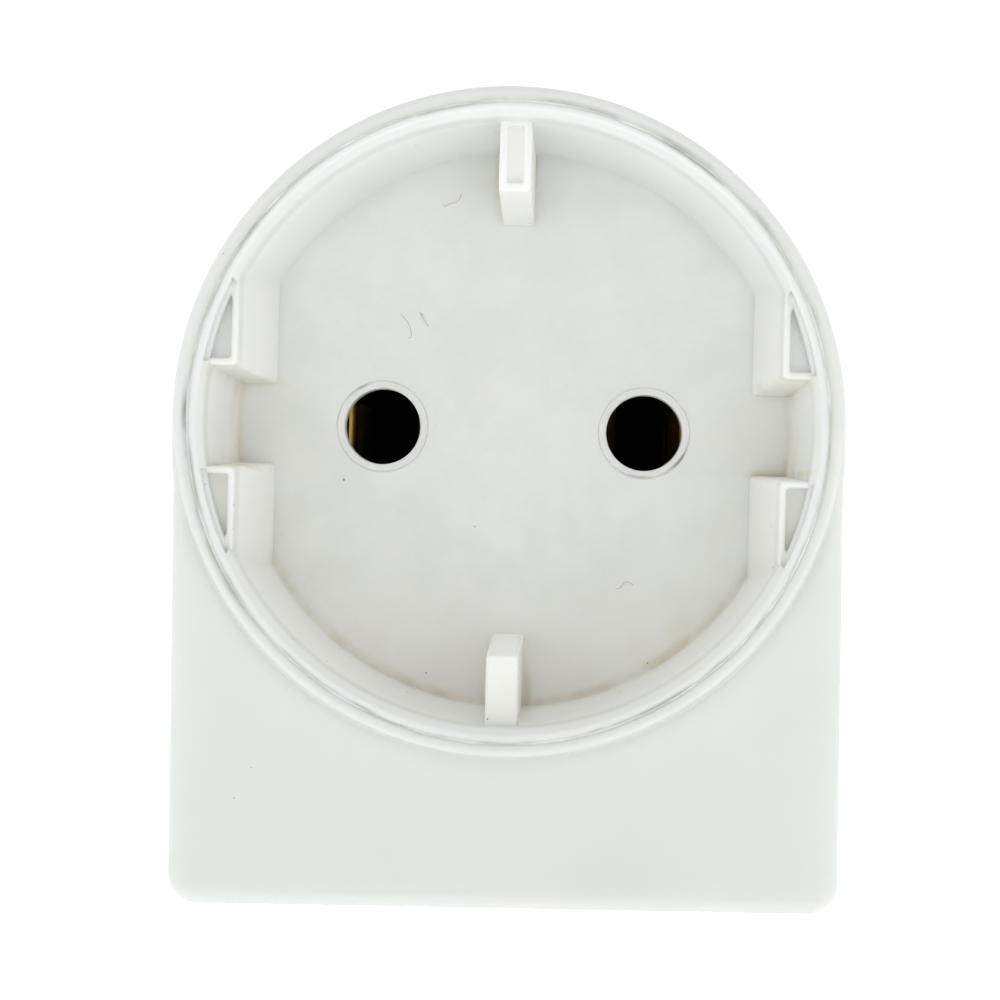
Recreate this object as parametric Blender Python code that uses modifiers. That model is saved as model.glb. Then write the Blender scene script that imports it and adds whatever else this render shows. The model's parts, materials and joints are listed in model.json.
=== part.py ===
"""Pass-through powerline adapter, modelled as the separate pieces that it is put together from.

Every piece is drawn as seen from the front: X to the right, Y up and Z towards the user. A height
along that Z is called a level, and level zero is the face of the plug that meets the bottom of a
wall socket. One parent stands the drawing upright, so in the world the front faces -Y, the plug
pins point to +Y and up is +Z.
"""

import math

import bmesh
import bpy

MM = 0.001

# Plug and socket pattern, as standardised for 16 A round plugs
PIN_SPACING = 19.0 * MM
PIN_RADIUS = 2.4 * MM
PIN_LENGTH = 19.0 * MM
RECESS_DEPTH = 17.5 * MM

# Body
BODY_HALF_WIDTH = 22.25 * MM
BODY_BOTTOM = -32.2 * MM
CORNER_RADIUS = 1.9 * MM
WALL = 2.0 * MM
EDGE_ROUND = 0.9 * MM
COLLAR_RADIUS = 22.1 * MM
COLLAR_BORE = 21.25 * MM
COLLAR_RISE = 0.8 * MM
GAP = 0.3 * MM
OVERLAP = 1.0 * MM

# Levels, from the plug face to the front
BACK_LEVEL = 16.5 * MM
SPLIT_LEVEL = 21.5 * MM
FACE_LEVEL = 54.5 * MM
RIM_LEVEL = FACE_LEVEL + COLLAR_RISE
FLOOR_LEVEL = RIM_LEVEL - RECESS_DEPTH
FLOOR_THICKNESS = 2.0 * MM
CUP_BACK = FLOOR_LEVEL - FLOOR_THICKNESS
SHOULDER_LEVEL = CUP_BACK - GAP
WELL_END = SHOULDER_LEVEL + 2.5 * MM
INNER_BACK = BACK_LEVEL + WALL
SHEET_LEVEL = INNER_BACK + GAP
SHEET_THICKNESS = 0.5 * MM
BOARD_BACK = 20.2 * MM
BOARD_FRONT = 21.8 * MM
PART_LEVEL = BOARD_FRONT + GAP

# Socket cup
CUP_RADIUS = 21.0 * MM
RECESS_RADIUS = 20.2 * MM
FLOOR_RADIUS = 20.05 * MM
BLOCK_FLAT = 17.3 * MM
KEYWAY_HALF = 3.0 * MM
BLOCK_TOP = RIM_LEVEL - 1.0 * MM
BLOCK_WALL = 0.6 * MM
POCKET_DEPTH = 1.2 * MM
RIB_WIDTH = 2.2 * MM
RIB_INNER = 14.85 * MM
RIB_TOP = RIM_LEVEL - 2.5 * MM
RIB_SLOT_WIDTH = 1.06 * MM
RIB_SLOT_DEPTH = 1.0 * MM
HOLE_RADIUS = 2.75 * MM

# Contact carrier behind the cup
PLATE_THICKNESS = 2.0 * MM
PLATE_FRONT = CUP_BACK - GAP
PLATE_BACK = PLATE_FRONT - PLATE_THICKNESS
PLATE_HALF_HEIGHT = 8.0 * MM
PLATE_HALF_WIDTH = 18.0 * MM
CHAMBER_RADIUS = 3.9 * MM
CHAMBER_TOP = PLATE_FRONT - 0.8 * MM
TUBE_RADIUS = 4.6 * MM
TUBE_END = 18.2 * MM

# Socket contacts: a folded strip with two leaves that flare at the mouth and close at the throat
LEAF_THICKNESS = 0.5 * MM
LEAF_HALF_WIDTH = 1.9 * MM
MOUTH_LEVEL = CHAMBER_TOP - GAP
MOUTH_HALF = 2.75 * MM
THROAT_LEVEL = MOUTH_LEVEL - 3.2 * MM
THROAT_HALF = 2.1 * MM
LEAF_ROOT_LEVEL = 26.0 * MM
LEAF_ROOT_HALF = 2.5 * MM
CONTACT_BASE = 19.0 * MM
STEM_RADIUS = 1.2 * MM
STEM_END = 16.2 * MM

# Busbars from the contact stems to the studs of the plug pins
BUSBAR_THICKNESS = 0.7 * MM
BUSBAR_HALF_WIDTH = 2.4 * MM
BUSBAR_HIGH = 15.5 * MM
BUSBAR_LOW = 7.8 * MM
BUSBAR_REACH = 3.6 * MM
WIRE_RADIUS = 0.75 * MM
WIRE_X = 13.6 * MM
WIRE_Y = 6.2 * MM

# Plug boss
BOSS_RADIUS = 18.7 * MM
BOSS_FLAT = 17.3 * MM
GUIDE_HALF = 2.7 * MM
GUIDE_REACH = 19.1 * MM
NOTCH_HALF = 3.2 * MM
NOTCH_REACH = 14.4 * MM
TAPER = 0.15 * MM
BOSS_FLOOR = 3.0 * MM
BOSS_ROOM_RADIUS = 16.4 * MM
BOSS_ROOM_X = 15.0 * MM
BOSS_ROOM_Y = 12.2 * MM
FLANGE_RADIUS = 3.6 * MM
FLANGE_HEIGHT = 1.3 * MM
STUD_RADIUS = 1.5 * MM
STUD_END = 7.0 * MM
RETAINER_LENGTH = 29.0 * MM
RETAINER_WIDTH = 10.0 * MM
RETAINER_LOW = 4.9 * MM
RETAINER_HIGH = 7.1 * MM

# Fixings
SCREW_X = 17.4 * MM
SCREW_Y = -27.4 * MM
POST_RADIUS = 2.9 * MM
TOWER_RADIUS = 3.3 * MM
SCREW_RADIUS = 1.3 * MM
SCREW_HEAD = 2.5 * MM
RETAINER_SCREW_RADIUS = 0.9 * MM
STANDOFFS = ((0.0, 16.6 * MM), (-16.6 * MM, -12.0 * MM), (16.9 * MM, -4.6 * MM))

# Network jack in the bottom face
JACK_HALF = 8.0 * MM
JACK_MOUTH = BODY_BOTTOM + 0.2 * MM
JACK_END = -10.9 * MM
JACK_TOP = 35.3 * MM
SHIELD_THICKNESS = 0.3 * MM
JACK_PITCH = 1.02 * MM
JACK_WAYS = 8
# Plug cavity and the two steps of the latch: half width, depth, lowest and highest level
JACK_ROOMS = (
    (5.95 * MM, 15.4 * MM, 24.6 * MM, 31.4 * MM),
    (3.1 * MM, 9.0 * MM, 31.0 * MM, 32.8 * MM),
    (1.7 * MM, 9.0 * MM, 32.4 * MM, 33.7 * MM),
)
JACK_CONTACT_Y = -27.6 * MM
JACK_CONTACT_END = -19.5 * MM
JACK_CONTACT_RADIUS = 0.2 * MM

# Side controls: button on the right, lights on the left
CONTROL_LEVEL = 25.7 * MM
BUTTON_Y = -18.6 * MM
LIGHTS_Y = -16.5 * MM
BUTTON_LENGTH = 9.0 * MM
BUTTON_WIDTH = 4.6 * MM
BUTTON_PROUD = 0.8 * MM
BUTTON_FLANGE = 0.9 * MM
BUTTON_FLANGE_HEIGHT = 0.8 * MM
PLUNGER_RADIUS = 1.5 * MM
LIGHT_SPACING = 4.5 * MM
LIGHT_RADIUS = 1.2 * MM

ROUND_STEPS = 64
FULL_TURN = 2.0 * math.pi
QUARTER_TURN = math.pi / 2.0


# ---------------------------------------------------------------- scene and materials

def clear_scene():
    for item in list(bpy.data.objects):
        bpy.data.objects.remove(item, do_unlink=True)


def new_collection(name):
    collection = bpy.data.collections.new(name)
    bpy.context.scene.collection.children.link(collection)
    return collection


clear_scene()
PARTS = new_collection("powerline_adapter")
CUTTERS = new_collection("cutters")
UPRIGHT = bpy.data.objects.new("upright", None)
UPRIGHT.rotation_euler.x = QUARTER_TURN
PARTS.objects.link(UPRIGHT)


def material(name, color, roughness, metallic=0.0):
    made = bpy.data.materials.new(name)
    made.use_nodes = True
    shader = made.node_tree.nodes["Principled BSDF"]
    shader.inputs["Base Color"].default_value = (*color, 1.0)
    shader.inputs["Roughness"].default_value = roughness
    shader.inputs["Metallic"].default_value = metallic
    made.diffuse_color = (*color, 1.0)
    return made


FINISHES = {
    "white_plastic": ((0.82, 0.83, 0.80), 0.38, 0.0),
    "carrier_plastic": ((0.80, 0.80, 0.77), 0.5, 0.0),
    "black_plastic": ((0.02, 0.02, 0.022), 0.45, 0.0),
    "clear_plastic": ((0.75, 0.78, 0.78), 0.15, 0.0),
    "brass": ((0.78, 0.57, 0.23), 0.3, 1.0),
    "nickel": ((0.72, 0.70, 0.66), 0.22, 1.0),
    "steel": ((0.55, 0.56, 0.57), 0.35, 1.0),
    "board_green": ((0.03, 0.20, 0.09), 0.45, 0.0),
    "fibre": ((0.72, 0.66, 0.52), 0.8, 0.0),
    "live_brown": ((0.22, 0.09, 0.03), 0.5, 0.0),
    "neutral_blue": ((0.03, 0.12, 0.50), 0.5, 0.0),
    "component_blue": ((0.05, 0.20, 0.55), 0.5, 0.0),
    "component_yellow": ((0.80, 0.62, 0.10), 0.5, 0.0),
    "ferrite": ((0.08, 0.08, 0.085), 0.6, 0.0),
    "winding_tape": ((0.85, 0.70, 0.20), 0.5, 0.0),
    "chip_black": ((0.03, 0.03, 0.03), 0.55, 0.0),
    "aluminium": ((0.75, 0.76, 0.77), 0.35, 1.0),
    "lamp_white": ((0.85, 0.85, 0.80), 0.4, 0.0),
}
MATERIALS = {name: material(name, *finish) for name, finish in FINISHES.items()}


# ---------------------------------------------------------------- shapes

def place(name, mesh, finish=None):
    """Object in the upright frame: a part where it has a finish, and a cutter where it has none."""
    made = bpy.data.objects.new(name, mesh)
    made.parent = UPRIGHT
    if finish:
        PARTS.objects.link(made)
        mesh.materials.append(MATERIALS[finish])
    else:
        CUTTERS.objects.link(made)
        made.hide_render = True
        made.display_type = "WIRE"
    return made


def smooth_round(mesh):
    mesh.shade_smooth()
    mesh.set_sharp_from_angle(angle=math.radians(35.0))


def arc(centre_x, centre_y, radius, start, end, steps):
    """Points along an arc, with its angles in degrees."""
    points = []
    for step in range(steps + 1):
        angle = math.radians(start + (end - start) * step / steps)
        points.append((centre_x + radius * math.cos(angle), centre_y + radius * math.sin(angle)))
    return points


def prism(name, outline, low, high, finish=None):
    """Flat outline in X and Y, carried from one level to another."""
    curve = bpy.data.curves.new(name, "CURVE")
    curve.dimensions = "2D"
    curve.fill_mode = "BOTH"
    curve.extrude = (high - low) / 2.0
    spline = curve.splines.new("POLY")
    spline.points.add(len(outline) - 1)
    for point, (x, y) in zip(spline.points, outline):
        point.co = (x, y, 0.0, 1.0)
    spline.use_cyclic_u = True
    guide = bpy.data.objects.new(name + "_outline", curve)
    CUTTERS.objects.link(guide)
    bpy.context.view_layer.update()
    seen = guide.evaluated_get(bpy.context.evaluated_depsgraph_get())
    mesh = bpy.data.meshes.new_from_object(seen)
    bpy.data.objects.remove(guide)
    work = bmesh.new()
    work.from_mesh(mesh)
    bmesh.ops.remove_doubles(work, verts=work.verts, dist=0.001 * MM)
    bmesh.ops.recalc_face_normals(work, faces=work.faces)
    bmesh.ops.dissolve_limit(
        work, angle_limit=math.radians(0.5), verts=work.verts, edges=work.edges
    )
    work.to_mesh(mesh)
    work.free()
    smooth_round(mesh)
    made = place(name, mesh, finish)
    made.location.z = (low + high) / 2.0
    return made


def sideways(made, low, high):
    """Turn a prism so that its outline lies in Y and level, and it runs along X."""
    made.rotation_euler = (QUARTER_TURN, 0.0, QUARTER_TURN)
    made.location = ((low + high) / 2.0, 0.0, 0.0)
    return made


def turned(name, profile, finish=None, steps=ROUND_STEPS, x=0.0, y=0.0, closed=False):
    """Round piece from (radius, level) points, which run from the front to the back outside."""
    mesh = bpy.data.meshes.new(name)
    edges = [(step, step + 1) for step in range(len(profile) - 1)]
    if closed:
        edges.append((len(profile) - 1, 0))
    mesh.from_pydata([(radius, 0.0, level) for radius, level in profile], edges, [])
    made = place(name, mesh, finish)
    made.location = (x, y, 0.0)
    screw = made.modifiers.new("Turn", "SCREW")
    screw.angle = FULL_TURN
    screw.steps = steps
    screw.render_steps = steps
    screw.use_merge_vertices = True
    screw.merge_threshold = 0.001 * MM
    return made


def cylinder(name, radius, low, high, x=0.0, y=0.0, finish=None, sides=24):
    work = bmesh.new()
    bmesh.ops.create_cone(
        work, cap_ends=True, segments=sides, radius1=radius, radius2=radius, depth=high - low
    )
    mesh = bpy.data.meshes.new(name)
    work.to_mesh(mesh)
    work.free()
    smooth_round(mesh)
    made = place(name, mesh, finish)
    made.location = (x, y, (low + high) / 2.0)
    return made


def side_cylinder(name, radius, low, high, y, level, finish=None, sides=24):
    """Cylinder along X."""
    made = cylinder(name, radius, low, high, finish=finish, sides=sides)
    made.rotation_euler.y = QUARTER_TURN
    made.location = ((low + high) / 2.0, y, level)
    return made


def box(name, low, high, finish=None, round_by=0.0):
    """Box between two corners, with softened edges where round_by is given."""
    work = bmesh.new()
    bmesh.ops.create_cube(work, size=1.0)
    size = [end - start for start, end in zip(low, high)]
    bmesh.ops.scale(work, vec=size, verts=work.verts)
    mesh = bpy.data.meshes.new(name)
    work.to_mesh(mesh)
    work.free()
    made = place(name, mesh, finish)
    made.location = [(start + end) / 2.0 for start, end in zip(low, high)]
    if round_by:
        bevel(made, round_by)
    return made


def bevel(made, width, segments=1):
    soft = made.modifiers.new("Bevel", "BEVEL")
    soft.width = width
    soft.segments = segments
    soft.limit_method = "ANGLE"
    soft.angle_limit = math.radians(40.0)


def round_rim(made, at_front, width, segments=3):
    """Round the outer edge of a prism at its front or back end."""
    work = bmesh.new()
    work.from_mesh(made.data)
    ends = [vertex.co.z for vertex in work.verts]
    end = max(ends) if at_front else min(ends)
    rim = []
    for edge in work.edges:
        at_end = all(abs(vertex.co.z - end) < 0.001 * MM for vertex in edge.verts)
        turns = any(abs(face.normal.z) < 0.5 for face in edge.link_faces)
        if at_end and turns:
            rim.append(edge)
    bmesh.ops.bevel(
        work, geom=rim, offset=width, segments=segments, profile=0.5, affect="EDGES"
    )
    bmesh.ops.remove_doubles(work, verts=work.verts, dist=0.01 * MM)
    work.to_mesh(made.data)
    work.free()
    smooth_round(made.data)


def combine(target, other, operation):
    change = target.modifiers.new(other.name, "BOOLEAN")
    change.operation = operation
    change.solver = "EXACT"
    change.object = other


def cut(target, *cutters):
    for cutter in cutters:
        combine(target, cutter, "DIFFERENCE")


def join(target, *others):
    for other in others:
        combine(target, other, "UNION")


def bent_strip(name, path, half_width, thickness, x, finish):
    """Metal strip that follows (x, level) points, centred on Y zero."""
    work = bmesh.new()
    row = [work.verts.new((along, -half_width, level)) for along, level in path]
    edges = [work.edges.new(pair) for pair in zip(row, row[1:])]
    grown = bmesh.ops.extrude_edge_only(work, edges=edges)["geom"]
    moved = [item for item in grown if isinstance(item, bmesh.types.BMVert)]
    bmesh.ops.translate(work, verts=moved, vec=(0.0, 2.0 * half_width, 0.0))
    mesh = bpy.data.meshes.new(name)
    work.to_mesh(mesh)
    work.free()
    made = place(name, mesh, finish)
    made.location.x = x
    solid = made.modifiers.new("Thickness", "SOLIDIFY")
    solid.thickness = thickness
    solid.offset = 0.0
    solid.use_even_offset = True
    return made


def wire(name, points, radius, finish, resolution=2):
    """Round wire through its points."""
    curve = bpy.data.curves.new(name, "CURVE")
    curve.dimensions = "3D"
    curve.bevel_depth = radius
    curve.bevel_resolution = resolution
    curve.use_fill_caps = True
    spline = curve.splines.new("POLY")
    spline.points.add(len(points) - 1)
    for point, place_at in zip(spline.points, points):
        point.co = (*place_at, 1.0)
    curve.materials.append(MATERIALS[finish])
    made = bpy.data.objects.new(name, curve)
    made.parent = UPRIGHT
    PARTS.objects.link(made)
    return made


# ---------------------------------------------------------------- outlines

def arch_outline(inset=0.0):
    """Outline of the body: a half circle over straight sides, with small round bottom corners."""
    half = BODY_HALF_WIDTH - inset
    bottom = BODY_BOTTOM + inset
    corner = max(CORNER_RADIUS - inset, GAP)
    points = arc(0.0, 0.0, half, 0.0, 180.0, 40)
    points += arc(corner - half, bottom + corner, corner, 180.0, 270.0, 4)
    points += arc(half - corner, bottom + corner, corner, 270.0, 360.0, 4)
    return points


def four_ways(quarter):
    """Whole outline from its quarter, which runs from the +X axis round to the +Y axis."""
    left = [(-x, y) for x, y in reversed(quarter)]
    low_left = [(-x, -y) for x, y in quarter]
    low_right = [(x, -y) for x, y in reversed(quarter)]
    points = quarter + left[1:] + low_left[1:] + low_right[1:-1]
    return points


def boss_outline():
    """Round plug with flats, a guide on each side, and a notch for earth clips above and below.

    The guides and notches narrow a little towards their ends.
    """
    flat_end = math.degrees(math.acos(BOSS_FLAT / BOSS_RADIUS))
    notch_end = math.degrees(math.acos(NOTCH_HALF / BOSS_RADIUS))
    quarter = [(GUIDE_REACH, 0.0), (GUIDE_REACH, GUIDE_HALF - TAPER), (BOSS_FLAT, GUIDE_HALF)]
    quarter += arc(0.0, 0.0, BOSS_RADIUS, flat_end, notch_end, 10)
    quarter += [(NOTCH_HALF - TAPER, NOTCH_REACH), (0.0, NOTCH_REACH)]
    return four_ways(quarter)


def boss_room_outline():
    """Hollow of the boss, kept inside its flats and notches."""
    start = math.degrees(math.acos(BOSS_ROOM_X / BOSS_ROOM_RADIUS))
    end = math.degrees(math.asin(BOSS_ROOM_Y / BOSS_ROOM_RADIUS))
    quarter = [(BOSS_ROOM_X, 0.0)]
    quarter += arc(0.0, 0.0, BOSS_ROOM_RADIUS, start, end, 5)
    quarter += [(0.0, BOSS_ROOM_Y)]
    return four_ways(quarter)


def segment_outline(flat_x, low_y, radius):
    """Slice of a disc, outside a flat at flat_x and above low_y."""
    start = math.degrees(math.asin(low_y / radius))
    end = math.degrees(math.acos(flat_x / radius))
    return [(flat_x, low_y)] + arc(0.0, 0.0, radius, start, end, 6)


def mirrored(outline, flip_x, flip_y):
    points = [(x * flip_x, y * flip_y) for x, y in outline]
    return points if flip_x * flip_y > 0 else points[::-1]


def stadium_outline(centre_x, centre_y, length, width):
    """Slot shape, long in its first direction."""
    radius = width / 2.0
    reach = length / 2.0 - radius
    points = arc(centre_x + reach, centre_y, radius, -90.0, 90.0, 8)
    points += arc(centre_x - reach, centre_y, radius, 90.0, 270.0, 8)
    return points


# ---------------------------------------------------------------- housing

def make_front_shell():
    """Arch-shaped front half with the raised collar, open at the back."""
    shell = prism("front_shell", arch_outline(), SPLIT_LEVEL + GAP, FACE_LEVEL, "white_plastic")
    round_rim(shell, True, EDGE_ROUND)
    collar_round = 0.35 * MM
    collar = turned(
        "collar",
        [
            (COLLAR_RADIUS - collar_round, RIM_LEVEL),
            (COLLAR_RADIUS, RIM_LEVEL - collar_round),
            (COLLAR_RADIUS, FACE_LEVEL - OVERLAP),
            (COLLAR_BORE - OVERLAP, FACE_LEVEL - OVERLAP),
            (COLLAR_BORE - OVERLAP, RIM_LEVEL),
        ],
        closed=True,
        steps=72,
    )
    join(shell, collar)
    cut(shell, prism("board_room", arch_outline(WALL), SPLIT_LEVEL - OVERLAP, WELL_END))
    cut(shell, cylinder("cup_bore", COLLAR_BORE, SHOULDER_LEVEL, RIM_LEVEL + OVERLAP, sides=72))
    cut(shell, prism("lower_room", lower_room_outline(), WELL_END - OVERLAP, FACE_LEVEL - WALL))
    for side in (-1, 1):
        post = cylinder(
            f"post_{side}", POST_RADIUS, SPLIT_LEVEL + 2 * GAP, FACE_LEVEL - WALL + GAP,
            side * SCREW_X, SCREW_Y, sides=16,
        )
        join(shell, post)
    for side in (-1, 1):
        pilot = cylinder(
            f"pilot_{side}", SCREW_RADIUS + GAP, SPLIT_LEVEL - OVERLAP, 33.0 * MM,
            side * SCREW_X, SCREW_Y, sides=12,
        )
        cut(shell, pilot)
    jack_way = box(
        "jack_way",
        (-JACK_HALF - GAP, BODY_BOTTOM - OVERLAP, SPLIT_LEVEL - OVERLAP),
        (JACK_HALF + GAP, BODY_BOTTOM + WALL + OVERLAP, JACK_TOP + GAP),
    )
    cut(shell, jack_way)
    button_way = prism(
        "button_way",
        stadium_outline(BUTTON_Y, CONTROL_LEVEL, BUTTON_LENGTH + 2 * GAP, BUTTON_WIDTH + 2 * GAP),
        -2.5 * MM, 2.5 * MM,
    )
    cut(shell, sideways(button_way, BODY_HALF_WIDTH - 4.0 * MM, BODY_HALF_WIDTH + OVERLAP))
    for light in range(3):
        window = side_cylinder(
            f"window_{light}", LIGHT_RADIUS + GAP, -BODY_HALF_WIDTH - OVERLAP,
            -BODY_HALF_WIDTH + WALL + OVERLAP, light_y(light), CONTROL_LEVEL, sides=16,
        )
        cut(shell, window)
    return shell


def lower_room_outline():
    """Room below the cup's well, behind the plain lower face, where the walls are a little thicker."""
    well = COLLAR_BORE + 1.35 * MM
    half = BODY_HALF_WIDTH - WALL - GAP
    start = 360.0 - math.degrees(math.acos(half / well))
    end = 180.0 + math.degrees(math.acos(half / well))
    floor = BODY_BOTTOM + WALL + GAP
    return arc(0.0, 0.0, well, start, end, 16) + [(-half, floor), (half, floor)]


def light_y(light):
    return LIGHTS_Y + (1 - light) * LIGHT_SPACING


def make_rear_shell():
    """Back half with the plug boss, a locating lip and the screw towers."""
    shell = prism("rear_shell", arch_outline(), BACK_LEVEL, SPLIT_LEVEL, "white_plastic")
    round_rim(shell, False, EDGE_ROUND)
    boss = prism("boss", boss_outline(), 0.0, BACK_LEVEL + OVERLAP)
    round_rim(boss, False, 0.6 * MM, 2)
    join(shell, boss)
    cut(shell, prism("back_room", arch_outline(WALL), INNER_BACK, SPLIT_LEVEL + OVERLAP))
    lip_inset = WALL + GAP
    lip = prism("lip", arch_outline(lip_inset), INNER_BACK - GAP, 24.0 * MM)
    cut(lip, prism("lip_room", arch_outline(lip_inset + 0.9 * MM), BACK_LEVEL, 25.0 * MM))
    lip_gaps = (
        (-25.0, -34.0, 25.0, -23.5),
        (16.0, -24.0, 24.0, -12.6),
        (-24.0, -24.0, -16.0, -9.0),
    )
    for number, (left, low, right, high) in enumerate(lip_gaps):
        gap = box(
            f"lip_gap_{number}",
            (left * MM, low * MM, INNER_BACK + GAP),
            (right * MM, high * MM, 26.0 * MM),
        )
        cut(lip, gap)
    join(shell, lip)
    for side in (-1, 1):
        tower = cylinder(
            f"tower_{side}", TOWER_RADIUS, BACK_LEVEL + OVERLAP, SPLIT_LEVEL - GAP,
            side * SCREW_X, SCREW_Y, sides=16,
        )
        join(shell, tower)
    for number, (x, y) in enumerate(STANDOFFS):
        peg = cylinder(
            f"standoff_{number}", 1.2 * MM, BACK_LEVEL + OVERLAP, BOARD_BACK - GAP, x, y, sides=12
        )
        join(shell, peg)
    cut(shell, prism("boss_room", boss_room_outline(), BOSS_FLOOR, INNER_BACK + 4.0 * MM))
    retainer_post = cylinder("retainer_post", 2.6 * MM, BOSS_FLOOR - OVERLAP, 4.6 * MM, sides=16)
    join(shell, retainer_post)
    pilot_radius = RETAINER_SCREW_RADIUS + GAP
    cut(shell, cylinder("retainer_pilot", pilot_radius, 1.4 * MM, 6.0 * MM, sides=12))
    for side in (-1, 1):
        pin_way = cylinder(
            f"pin_way_{side}", PIN_RADIUS + GAP, -OVERLAP, BOSS_FLOOR + OVERLAP,
            side * PIN_SPACING / 2.0, sides=24,
        )
        head_way = cylinder(
            f"head_way_{side}", SCREW_HEAD + GAP, BACK_LEVEL - OVERLAP, 18.9 * MM,
            side * SCREW_X, SCREW_Y, sides=20,
        )
        shank_way = cylinder(
            f"shank_way_{side}", SCREW_RADIUS + GAP, BACK_LEVEL, SPLIT_LEVEL + OVERLAP,
            side * SCREW_X, SCREW_Y, sides=12,
        )
        cut(shell, pin_way, head_way, shank_way)
    return shell


def make_screw(name, x, y, head_level, length, radius, head_radius, head_height):
    """Pan-head screw driven in from the back, with a cross recess."""
    tip = head_level + head_height + length
    screw = turned(
        name,
        [
            (0.0, tip),
            (radius * 0.4, tip - 0.2 * MM),
            (radius, tip - radius * 1.6),
            (radius, head_level + head_height),
            (head_radius, head_level + head_height),
            (head_radius, head_level + 0.35 * head_height),
            (head_radius * 0.7, head_level),
            (0.0, head_level),
        ],
        "steel", steps=20, x=x, y=y,
    )
    for turn in range(2):
        reach = head_radius * (0.62 if turn else 0.14)
        across = head_radius * (0.14 if turn else 0.62)
        slot = box(
            f"{name}_slot_{turn}",
            (x - reach, y - across, head_level - OVERLAP),
            (x + reach, y + across, head_level + 0.6 * head_height),
        )
        cut(screw, slot)
    return screw


# ---------------------------------------------------------------- socket and plug

def make_socket_insert():
    """Cup pressed into the collar: recess, keyed side blocks with pockets, two ribs, two holes."""
    cup = turned(
        "socket_insert",
        [
            (0.0, FLOOR_LEVEL),
            (FLOOR_RADIUS, FLOOR_LEVEL),
            (RECESS_RADIUS, RIM_LEVEL - GAP),
            (RECESS_RADIUS + 0.2 * MM, RIM_LEVEL),
            (CUP_RADIUS - 0.15 * MM, RIM_LEVEL),
            (CUP_RADIUS, RIM_LEVEL - 0.15 * MM),
            (CUP_RADIUS, CUP_BACK),
            (0.0, CUP_BACK),
        ],
        "white_plastic", steps=72,
    )
    root_radius = FLOOR_RADIUS + 0.5 * MM
    pocket_radius = FLOOR_RADIUS - 0.1 * MM
    for flip_x in (-1, 1):
        for flip_y in (-1, 1):
            block = mirrored(segment_outline(BLOCK_FLAT, KEYWAY_HALF, root_radius), flip_x, flip_y)
            join(cup, prism(f"block_{flip_x}_{flip_y}", block, CUP_BACK + OVERLAP, BLOCK_TOP))
    for flip_x in (-1, 1):
        for flip_y in (-1, 1):
            inner = segment_outline(BLOCK_FLAT + BLOCK_WALL, KEYWAY_HALF + BLOCK_WALL, pocket_radius)
            pocket = prism(
                f"pocket_{flip_x}_{flip_y}", mirrored(inner, flip_x, flip_y),
                BLOCK_TOP - POCKET_DEPTH, RIM_LEVEL,
            )
            cut(cup, pocket)
    for flip_y in (-1, 1):
        ends = sorted((flip_y * RIB_INNER, flip_y * root_radius))
        rib = box(
            f"rib_{flip_y}",
            (-RIB_WIDTH / 2.0, ends[0], CUP_BACK + OVERLAP),
            (RIB_WIDTH / 2.0, ends[1], RIB_TOP),
        )
        join(cup, rib)
    slot = box(
        "rib_slot",
        (-RIB_SLOT_WIDTH / 2.0, RIB_INNER + OVERLAP, RIB_TOP - RIB_SLOT_DEPTH),
        (RIB_SLOT_WIDTH / 2.0, pocket_radius, RIB_TOP + OVERLAP),
    )
    cut(cup, slot)
    for side in (-1, 1):
        hole = cylinder(
            f"pin_hole_{side}", HOLE_RADIUS, CUP_BACK - OVERLAP, FLOOR_LEVEL + OVERLAP,
            side * PIN_SPACING / 2.0, sides=32,
        )
        cut(cup, hole)
    return cup


def make_contact_carrier():
    """Plate behind the cup, with a tube round each contact."""
    carrier = prism(
        "contact_carrier",
        stadium_outline(0.0, 0.0, 2 * PLATE_HALF_WIDTH, 2 * PLATE_HALF_HEIGHT),
        PLATE_BACK, PLATE_FRONT, "black_plastic",
    )
    for side in (-1, 1):
        x = side * PIN_SPACING / 2.0
        tube = cylinder(f"tube_{side}", TUBE_RADIUS, TUBE_END, PLATE_FRONT - OVERLAP, x, sides=32)
        join(carrier, tube)
    for side in (-1, 1):
        x = side * PIN_SPACING / 2.0
        bore = cylinder(
            f"bore_{side}", HOLE_RADIUS + GAP, PLATE_BACK - OVERLAP, PLATE_FRONT + OVERLAP, x, sides=32
        )
        chamber = cylinder(
            f"chamber_{side}", CHAMBER_RADIUS, TUBE_END - OVERLAP, CHAMBER_TOP, x, sides=32
        )
        cut(carrier, bore, chamber)
    return carrier


def make_contact(name, x):
    """Brass strip folded into two springy leaves that grip the pin, on a stem."""
    half = [
        (MOUTH_HALF, MOUTH_LEVEL),
        (THROAT_HALF, THROAT_LEVEL),
        (LEAF_ROOT_HALF, LEAF_ROOT_LEVEL),
        (LEAF_ROOT_HALF, CONTACT_BASE),
    ]
    path = [(-along, level) for along, level in half] + half[::-1]
    contact = bent_strip(name, path, LEAF_HALF_WIDTH, LEAF_THICKNESS, x, "brass")
    join(contact, cylinder(name + "_stem", STEM_RADIUS, STEM_END, CONTACT_BASE, x))
    return contact


def make_plug_pin(name, x):
    """Solid pin with a round tip, a flange that sits inside the boss floor, and a stud."""
    flange_level = BOSS_FLOOR + GAP
    tip_radius = 0.9 * MM
    shoulder_radius = 1.9 * MM
    return turned(
        name,
        [
            (0.0, STUD_END),
            (STUD_RADIUS, STUD_END),
            (STUD_RADIUS, flange_level + FLANGE_HEIGHT),
            (FLANGE_RADIUS, flange_level + FLANGE_HEIGHT),
            (FLANGE_RADIUS, flange_level),
            (PIN_RADIUS, flange_level),
            (PIN_RADIUS, 2.2 * MM - PIN_LENGTH),
            (shoulder_radius, 0.7 * MM - PIN_LENGTH),
            (tip_radius, -PIN_LENGTH),
            (0.0, -PIN_LENGTH),
        ],
        "nickel", steps=32, x=x,
    )


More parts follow.
